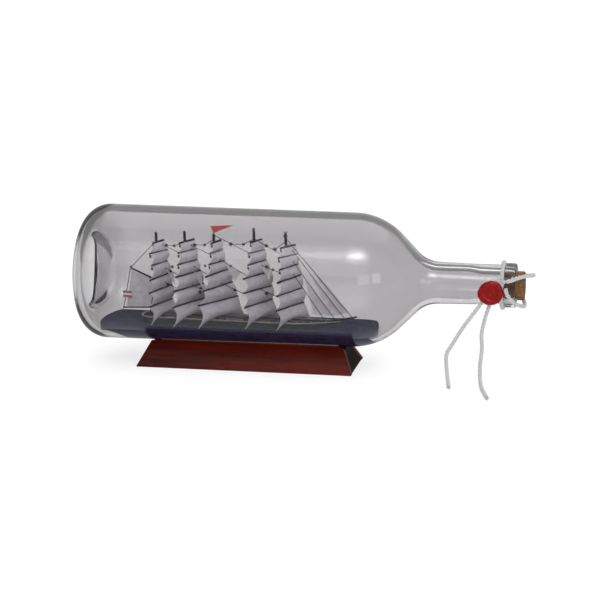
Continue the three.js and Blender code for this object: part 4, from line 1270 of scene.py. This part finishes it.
class BOTTLE_OT_masts(bpy.types.Operator):
    """Masts with their yards, glued crossings and the pegs left at their tops"""

    bl_idname = "bottle.masts"
    bl_label = "Masts and yards"

    def execute(self, context):
        ship = context.scene.bottle_ship
        black = spar_material(ship.spar_colour)
        for number, mast in enumerate(MASTS, 1):
            rng = np.random.default_rng(40 + number)
            ends = [[(0, 0, 2.5), (0, 0, mast["top"])]]
            radii = [[MAST_RADIUS, TIP_THICK]]
            for z, size, brace in zip(mast["heights"], mast["lengths"], mast["braces"]):
                forward = mast_radius(mast, z) + YARD_AHEAD
                tilt = rng.uniform(-0.25, 0.25)
                ends.append([braced(brace, s * size / 2, forward, z + s * tilt).tolist() for s in (-1, 1)])
                thick = ROYAL_THICK if z == mast["heights"][0] else YARD_THICK
                radii.append([thick, thick * 0.9])
            # Two broken pegs cross each masthead, and two more cross each other over the last mast's.
            royal = mast["heights"][0]
            for dz, reach, dx in ((3.4, 1.7, 0.8), (5.1, 1.5, -0.9)):
                if royal + dz < mast["top"] + 1:
                    ends.append([(-dx, -reach, royal + dz - 0.4), (dx, reach, royal + dz + 0.4)])
                    radii.append([0.28, 0.22])
            if number == len(MASTS):
                for s in (-1, 1):
                    ends.append([(-1.9 * s, -0.5, 67.2), (1.7 * s, 0.5, 71.2)])
                    radii.append([0.32, 0.26])
            # Dark teardrop marks, black rods, hang under the near ends of the three highest yards.
            for z, size, brace in list(zip(mast["heights"], mast["lengths"], mast["braces"]))[:3]:
                half, forward = size / 2 - 1.4, mast_radius(mast, z) + 0.5
                ends.append([braced(brace, -half, forward, z - drop).tolist() for drop in (1.3, 3.4)])
                radii.append([DARK_MARK_THICK, DARK_MARK_THIN])
            spars = rods(raked(mast, ends, ship.rake), np.array(radii) * MM, 10)
            glue = []
            for z, brace in zip(mast["heights"], mast["braces"]):
                glue.append(braced(brace, rng.uniform(-0.3, 0.3), 0.0, z - 0.1))
            glue_sizes = rng.uniform(1.1, 1.3, len(glue)) * MM
            crossings = beads(raked(mast, glue, ship.rake), glue_sizes, 0.8)
            node = f"mast_{number}"
            piece(node + "_spars", [spars, crossings], black, "bottle", (node,))
        return {"FINISHED"}


def curled_sail(mast, index, belly, rng):
    """A paper sail glued under its yard. Down its length it swells forward as the sine of the way
    down and turns under at its foot, deeper at the middle than at its edges, and its foot is arched."""
    last = index == len(mast["heights"]) - 1
    following = index if last else index + 1
    head = mast["heights"][index] + YARD_RADIUS * 0.3
    foot = 1.1 if last else mast["heights"][following] + YARD_RADIUS * 0.5
    roach = 5.2 if last else 0.0
    drop = head - foot
    top_half = mast["lengths"][index] / 2 - 0.4
    foot_half = top_half + 4.4 if last else mast["lengths"][following] / 2 - 0.9
    u = np.linspace(-1, 1, 25)[:, None]
    v = np.linspace(0, 1, 29)[None]
    depth = belly * (0.72 if last else 1.0) * drop
    skew = rng.uniform(-0.05, 0.05)
    swell = np.sin(math.pi * v**0.85) ** 0.9 * (1 - 0.25 * u**2 + skew * u)
    clear = mast_radius(mast, foot) + 0.25
    forward = clear + depth * swell + (3.6 * v**2 if last else 0)
    spots = np.stack(np.broadcast_arrays(u * 2.2, v * 2.4, index), -1)
    flutter = noise(spots, int(mast["x"]) + index)
    height = head - drop * v + roach * v * v * (1 - u * u)
    half = top_half + (foot_half - top_half) * v
    pinch = 1 - (0.12 if last else 0.05) * np.sin(math.pi * v)
    turn = mast["braces"][index] + (mast["braces"][following] - mast["braces"][index]) * v
    return braced(turn, u * half * pinch, forward + flutter * 0.35, height)


class BOTTLE_OT_square_sails(bpy.types.Operator):
    """Thirty curled paper sails, each glued under its yard"""

    bl_idname = "bottle.square_sails"
    bl_label = "Square sails"

    def execute(self, context):
        ship = context.scene.bottle_ship
        paper = sail_material(ship)
        for number, mast in enumerate(MASTS, 1):
            rng = np.random.default_rng(60 + number)
            for index, name in enumerate(SAIL_NAMES):
                grid = raked(mast, curled_sail(mast, index, ship.belly, rng), ship.rake)
                parts, node = [leaf(grid, ship.paper)], f"mast_{number}_{name}"
                piece(f"sail_{number}_{name}", parts, paper, "bottle", (node,), 60)
        return {"FINISHED"}


SAIL_TIP = 0.985  # the share of the way to its corner at which a three-cornered piece of paper stops


def triangle_sail(head, foot, clew, belly):
    """A sail between a stay and a corner: points on the stay joined to its free corner, pushed
    sideways by a sine both ways. It comes to a narrow edge at the corner, not to a point."""
    head, foot, clew = np.array([head, foot, clew], float)
    t = np.linspace(0, 1, 17)[:, None, None]
    s = np.linspace(0, SAIL_TIP, 17)[None, :, None]
    stay = head + (foot - head) * t
    grid = stay + (clew - stay) * s
    grid[..., 1] += belly * np.sin(math.pi * t[..., 0]) * np.sin(math.pi * s[..., 0])
    return afloat(grid)


class BOTTLE_OT_fore_and_aft(bpy.types.Operator):
    """Bowsprit, gaff and boom, the sails set on them, staysails, ensign and pennant"""

    bl_idname = "bottle.fore_and_aft"
    bl_label = "Fore-and-aft sails and flags"

    def execute(self, context):
        ship = context.scene.bottle_ship
        black, paper = spar_material(ship.spar_colour), sail_material(ship)
        # Each spar's name, root, tip and its radius at each.
        spars = (
            ("bowsprit", (186.5, 0, 3.9), (208.2, 0, 8.5), 0.8, 0.62),
            ("gaff", (55.6, 0, 30.9), (35.5, 0, 39.7), 0.75, 0.5),
            ("boom", (56.4, 0, 9.9), (29.5, 0, 8.8), 0.62, 0.5),
        )
        for name, root, tip, thick, thin in spars:
            part = rods(afloat([[root, tip]]), np.array([[thick, thin]]) * MM, 14)
            beads_at = beads(afloat([np.array(root) * 0.97 + np.array(tip) * 0.03]), thick * 1.35 * MM)
            piece(name + "_spar", [part, beads_at], black, "bottle", (name,))

        u = np.linspace(0, 1, 21)[:, None, None]
        v = np.linspace(0, 1, 21)[None, :, None]
        throat, peak = np.array([54.2, 0, 30.6]), np.array([36.9, 0, 38.2])
        tack, clew = np.array([54.8, 0, 10.6]), np.array([32.2, 0, 9.6])
        grid = (throat * (1 - u) + peak * u) * (1 - v) + (tack * (1 - u) + clew * u) * v
        grid[..., 1] += 1.6 * np.sin(math.pi * u[..., 0]) * np.sin(math.pi * v[..., 0] ** 0.8)
        spanker = leaf(afloat(grid), ship.paper)
        piece("spanker_sail", [spanker], paper, "bottle", ("spanker",), 60)

        # Each jib's stay from (x, height) aloft to the bowsprit, the shares of it between which the
        # jib is set, its free corner, and how far it swells.
        jibs = (
            ("jib_1", (157.3, 52.8), (192.0, 6.2), 0.32, 0.95, (175.6, 9.3), 1.5),
            ("jib_2", (158.5, 58.5), (199.2, 7.1), 0.33, 0.95, (187.6, 9.0), 1.3),
            ("jib_3", (153.1, 69.1), (205.0, 8.3), 0.36, 0.95, (194.4, 10.0), 1.2),
        )
        for name, head, foot, start, stop, clew, belly in jibs:
            head, foot, clew = (np.array([x, 0, z]) for x, z in (head, foot, clew))
            stay = foot - head
            jib = leaf(triangle_sail(head + stay * start, head + stay * stop, clew, belly), ship.paper * 0.8)
            piece(name + "_sail", [jib], paper, "bottle", (name,), 60)

        pale = ship.stay_sail_colour
        thin = paper_finish("staysail paper", pale, dimmed(pale, 0.85), 0.4)
        # Each staysail's two corners on its stay, its free corner, and how far it swells.
        staysails = (
            ((62.5, 0.3, 40.4), (69.0, 0.3, 36.8), (69.5, 1.2, 28.0), 1.0),
            ((84.5, 0.3, 38.4), (90.5, 0.3, 34.2), (90.5, 1.2, 26.0), 1.0),
            ((109.0, 0.3, 44.7), (120.0, 0.3, 38.8), (115.5, 1.2, 31.5), 1.2),
            ((136.0, 0.3, 44.0), (144.0, 0.3, 41.0), (141.5, 1.2, 33.0), 1.0),
        )
        parts = [leaf(triangle_sail(*corners, belly), ship.paper * 0.8) for *corners, belly in staysails]
        piece("staysails", parts, thin, "bottle", (), 60)

        low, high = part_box("ensign")
        u = np.linspace(0, 1, 31)[:, None]
        v = np.linspace(0, 1, 13)[None]
        x = low.x + (high.x - low.x) * u + v * 0
        wave = MM * 0.7 * np.sin(u * 6.2) * u
        z = high.z - (high.z - low.z) * v - MM * 0.5 * u**2
        grid = np.stack([x, (low.y + high.y) / 2 + wave + v * 0, z + u * 0], -1)
        striped = ensign_finish((0.03, 0.035, 0.08), (0.75, 0.73, 0.72), (0.42, 0.03, 0.04), high.z, low.z)
        piece("ensign_flag", [leaf(grid, ship.paper)], striped, "bottle", ("ensign",))

        corner, upper, tip = np.array([(99.9, 0, 68.0), (97.3, 0, 73.2), (115.3, 0, 74.3)])
        u, v = np.linspace(0, SAIL_TIP, 27)[:, None, None], np.linspace(0, 1, 9)[None, :, None]
        grid = (upper * (1 - v) + corner * v) * (1 - u) + tip * u
        grid[..., 1] += 0.7 * np.sin(u[..., 0] * 5.5) * u[..., 0]
        red = ship.pennant_colour
        bright = paper_finish("pennant paper", red, dimmed(red, 0.7), 0.1, 0.55)
        pennant = leaf(afloat(grid), ship.paper)
        piece("pennant_flag", [pennant], bright, "bottle", ("pennant",))
        return {"FINISHED"}


# ---------------------------------------------------------------- rigging


SHROUD_HEIGHTS = (31.0, 42.0)


class BOTTLE_OT_rigging(bpy.types.Operator):
    """Stays and shrouds of black thread, with the knots of glue that hold them"""

    bl_idname = "bottle.rigging"
    bl_label = "Rigging"

    def execute(self, context):
        ship = context.scene.bottle_ship
        black = spar_material(ship.spar_colour)
        # Stays in the ship's middle plane, as (x, height) at each end.
        stays = (
            ((156.4, 44.6), (184.3, 4.4)), ((156.4, 53.4), (192.2, 5.0)),
            ((156.0, 61.6), (199.2, 6.2)), ((153.4, 67.4), (205.0, 7.2)),
            ((53.9, 58.4), (36.6, 40.3)), ((36.0, 40.6), (30.2, 8.9)),
            ((56.4, 59.9), (75.8, 51.2)), ((56.8, 43.4), (77.6, 32.6)), ((58.0, 31.4), (78.9, 21.5)),
            ((63.8, 57.5), (69.9, 57.4)), ((69.9, 57.4), (76.4, 60.0)),
            ((77.9, 60.2), (97.8, 51.4)), ((78.6, 45.4), (99.5, 34.0)), ((79.2, 30.4), (100.6, 20.0)),
            ((78.0, 58.6), (93.1, 58.8)), ((93.1, 58.8), (99.4, 63.0)),
            ((100.2, 66.4), (127.6, 53.6)), ((101.0, 50.4), (128.6, 34.4)), ((101.8, 32.0), (129.9, 19.6)),
            ((113.0, 60.1), (122.6, 60.3)), ((122.6, 60.3), (130.6, 64.6)),
            ((130.8, 64.6), (152.6, 52.8)), ((131.4, 46.6), (154.0, 38.4)), ((132.2, 28.0), (155.6, 18.4)),
            ((146.3, 57.5), (154.6, 63.4)),
        )
        threads = [[(a[0], 0.0, a[1]), (b[0], 0.0, b[1])] for a, b in stays]
        # Shrouds run from each mast to the rail on both sides: two from low down, one from higher up.
        for mast in MASTS:
            for height in SHROUD_HEIGHTS:
                x = mast["x"] - (height - DECK_TOP) * math.tan(ship.rake)
                for side in (-1, 1):
                    for back in (-3.6, -1.2) if height == SHROUD_HEIGHTS[0] else (-6.0,):
                        threads.append([(x, side * 0.5, height), (mast["x"] + back, side * 8.6, 4.4)])
        radius = ship.thread / 2
        lines = rods(afloat(threads), radius, 6)
        knots = [
            (63.8, 0, 57.5), (69.9, 0, 57.4), (66.7, 0, 37.9), (68.1, 0, 41.4), (64.4, 0, 27.9),
            (93.1, 0, 58.8), (85.5, 0, 58.5), (93.3, 0, 43.0), (89.6, 0, 25.7), (89.3, 0, 22.9),
            (113.0, 0, 60.1), (122.6, 0, 60.3), (112.7, 0, 43.7), (115.8, 0, 25.4),
            (140.0, 0, 59.8), (146.3, 0, 57.5), (140.0, 0, 43.8), (144.7, 0, 42.0), (140.1, 0, 23.9),
            (36.3, 0, 40.4), (30.2, 0, 8.9), (184.3, 0, 4.5), (192.2, 0, 5.1), (199.2, 0, 6.3),
            (205.0, 0, 7.3),
        ]
        sizes = np.random.default_rng(77).uniform(1.0, 1.6, len(knots)) * MM
        sizes[-6:] *= 0.75  # those at the gaff, the boom and the bowsprit
        piece("rigging_threads", [lines, beads(afloat(knots), sizes, 0.85)], black, "bottle", ())
        return {"FINISHED"}


# ---------------------------------------------------------------- the add-on's list and its running

SETTINGS = (
    ("bottle_stage", StageSettings),
    ("bottle_glass", BottleSettings),
    ("bottle_cord", CordSettings),
    ("bottle_stand", StandSettings),
    ("bottle_sea", SeaSettings),
    ("bottle_ship", ShipSettings),
)
OPERATORS = (
    BOTTLE_OT_stage,
    BOTTLE_OT_cords,
    BOTTLE_OT_glass,
    BOTTLE_OT_cork,
    BOTTLE_OT_seal,
    BOTTLE_OT_stand,
    BOTTLE_OT_sea,
    BOTTLE_OT_hull,
    BOTTLE_OT_masts,
    BOTTLE_OT_square_sails,
    BOTTLE_OT_fore_and_aft,
    BOTTLE_OT_rigging,
)


class BOTTLE_PT_pieces(bpy.types.Panel):
    """The settings and the operators, in the order in which they're run"""

    bl_idname = "BOTTLE_PT_pieces"
    bl_label = "Ship in a bottle"
    bl_space_type = "VIEW_3D"
    bl_region_type = "UI"
    bl_category = "Ship in a bottle"

    def draw(self, context):
        for operator in OPERATORS:
            self.layout.operator(operator.bl_idname)
        for name, group in SETTINGS:
            box = self.layout.box()
            for label in group.__annotations__:
                box.prop(getattr(context.scene, name), label)


def register():
    for name, group in SETTINGS:
        bpy.utils.register_class(group)
        setattr(bpy.types.Scene, name, PointerProperty(type=group))
    for made in (*OPERATORS, BOTTLE_PT_pieces):
        bpy.utils.register_class(made)


def unregister():
    for made in (BOTTLE_PT_pieces, *reversed(OPERATORS)):
        bpy.utils.unregister_class(made)
    for name, group in reversed(SETTINGS):
        delattr(bpy.types.Scene, name)
        bpy.utils.unregister_class(group)


def main():
    """Runs every operator in order."""
    register()
    for operator in OPERATORS:
        family, name = operator.bl_idname.split(".")
        getattr(getattr(bpy.ops, family), name)()


if __name__ == "__main__":
    main()
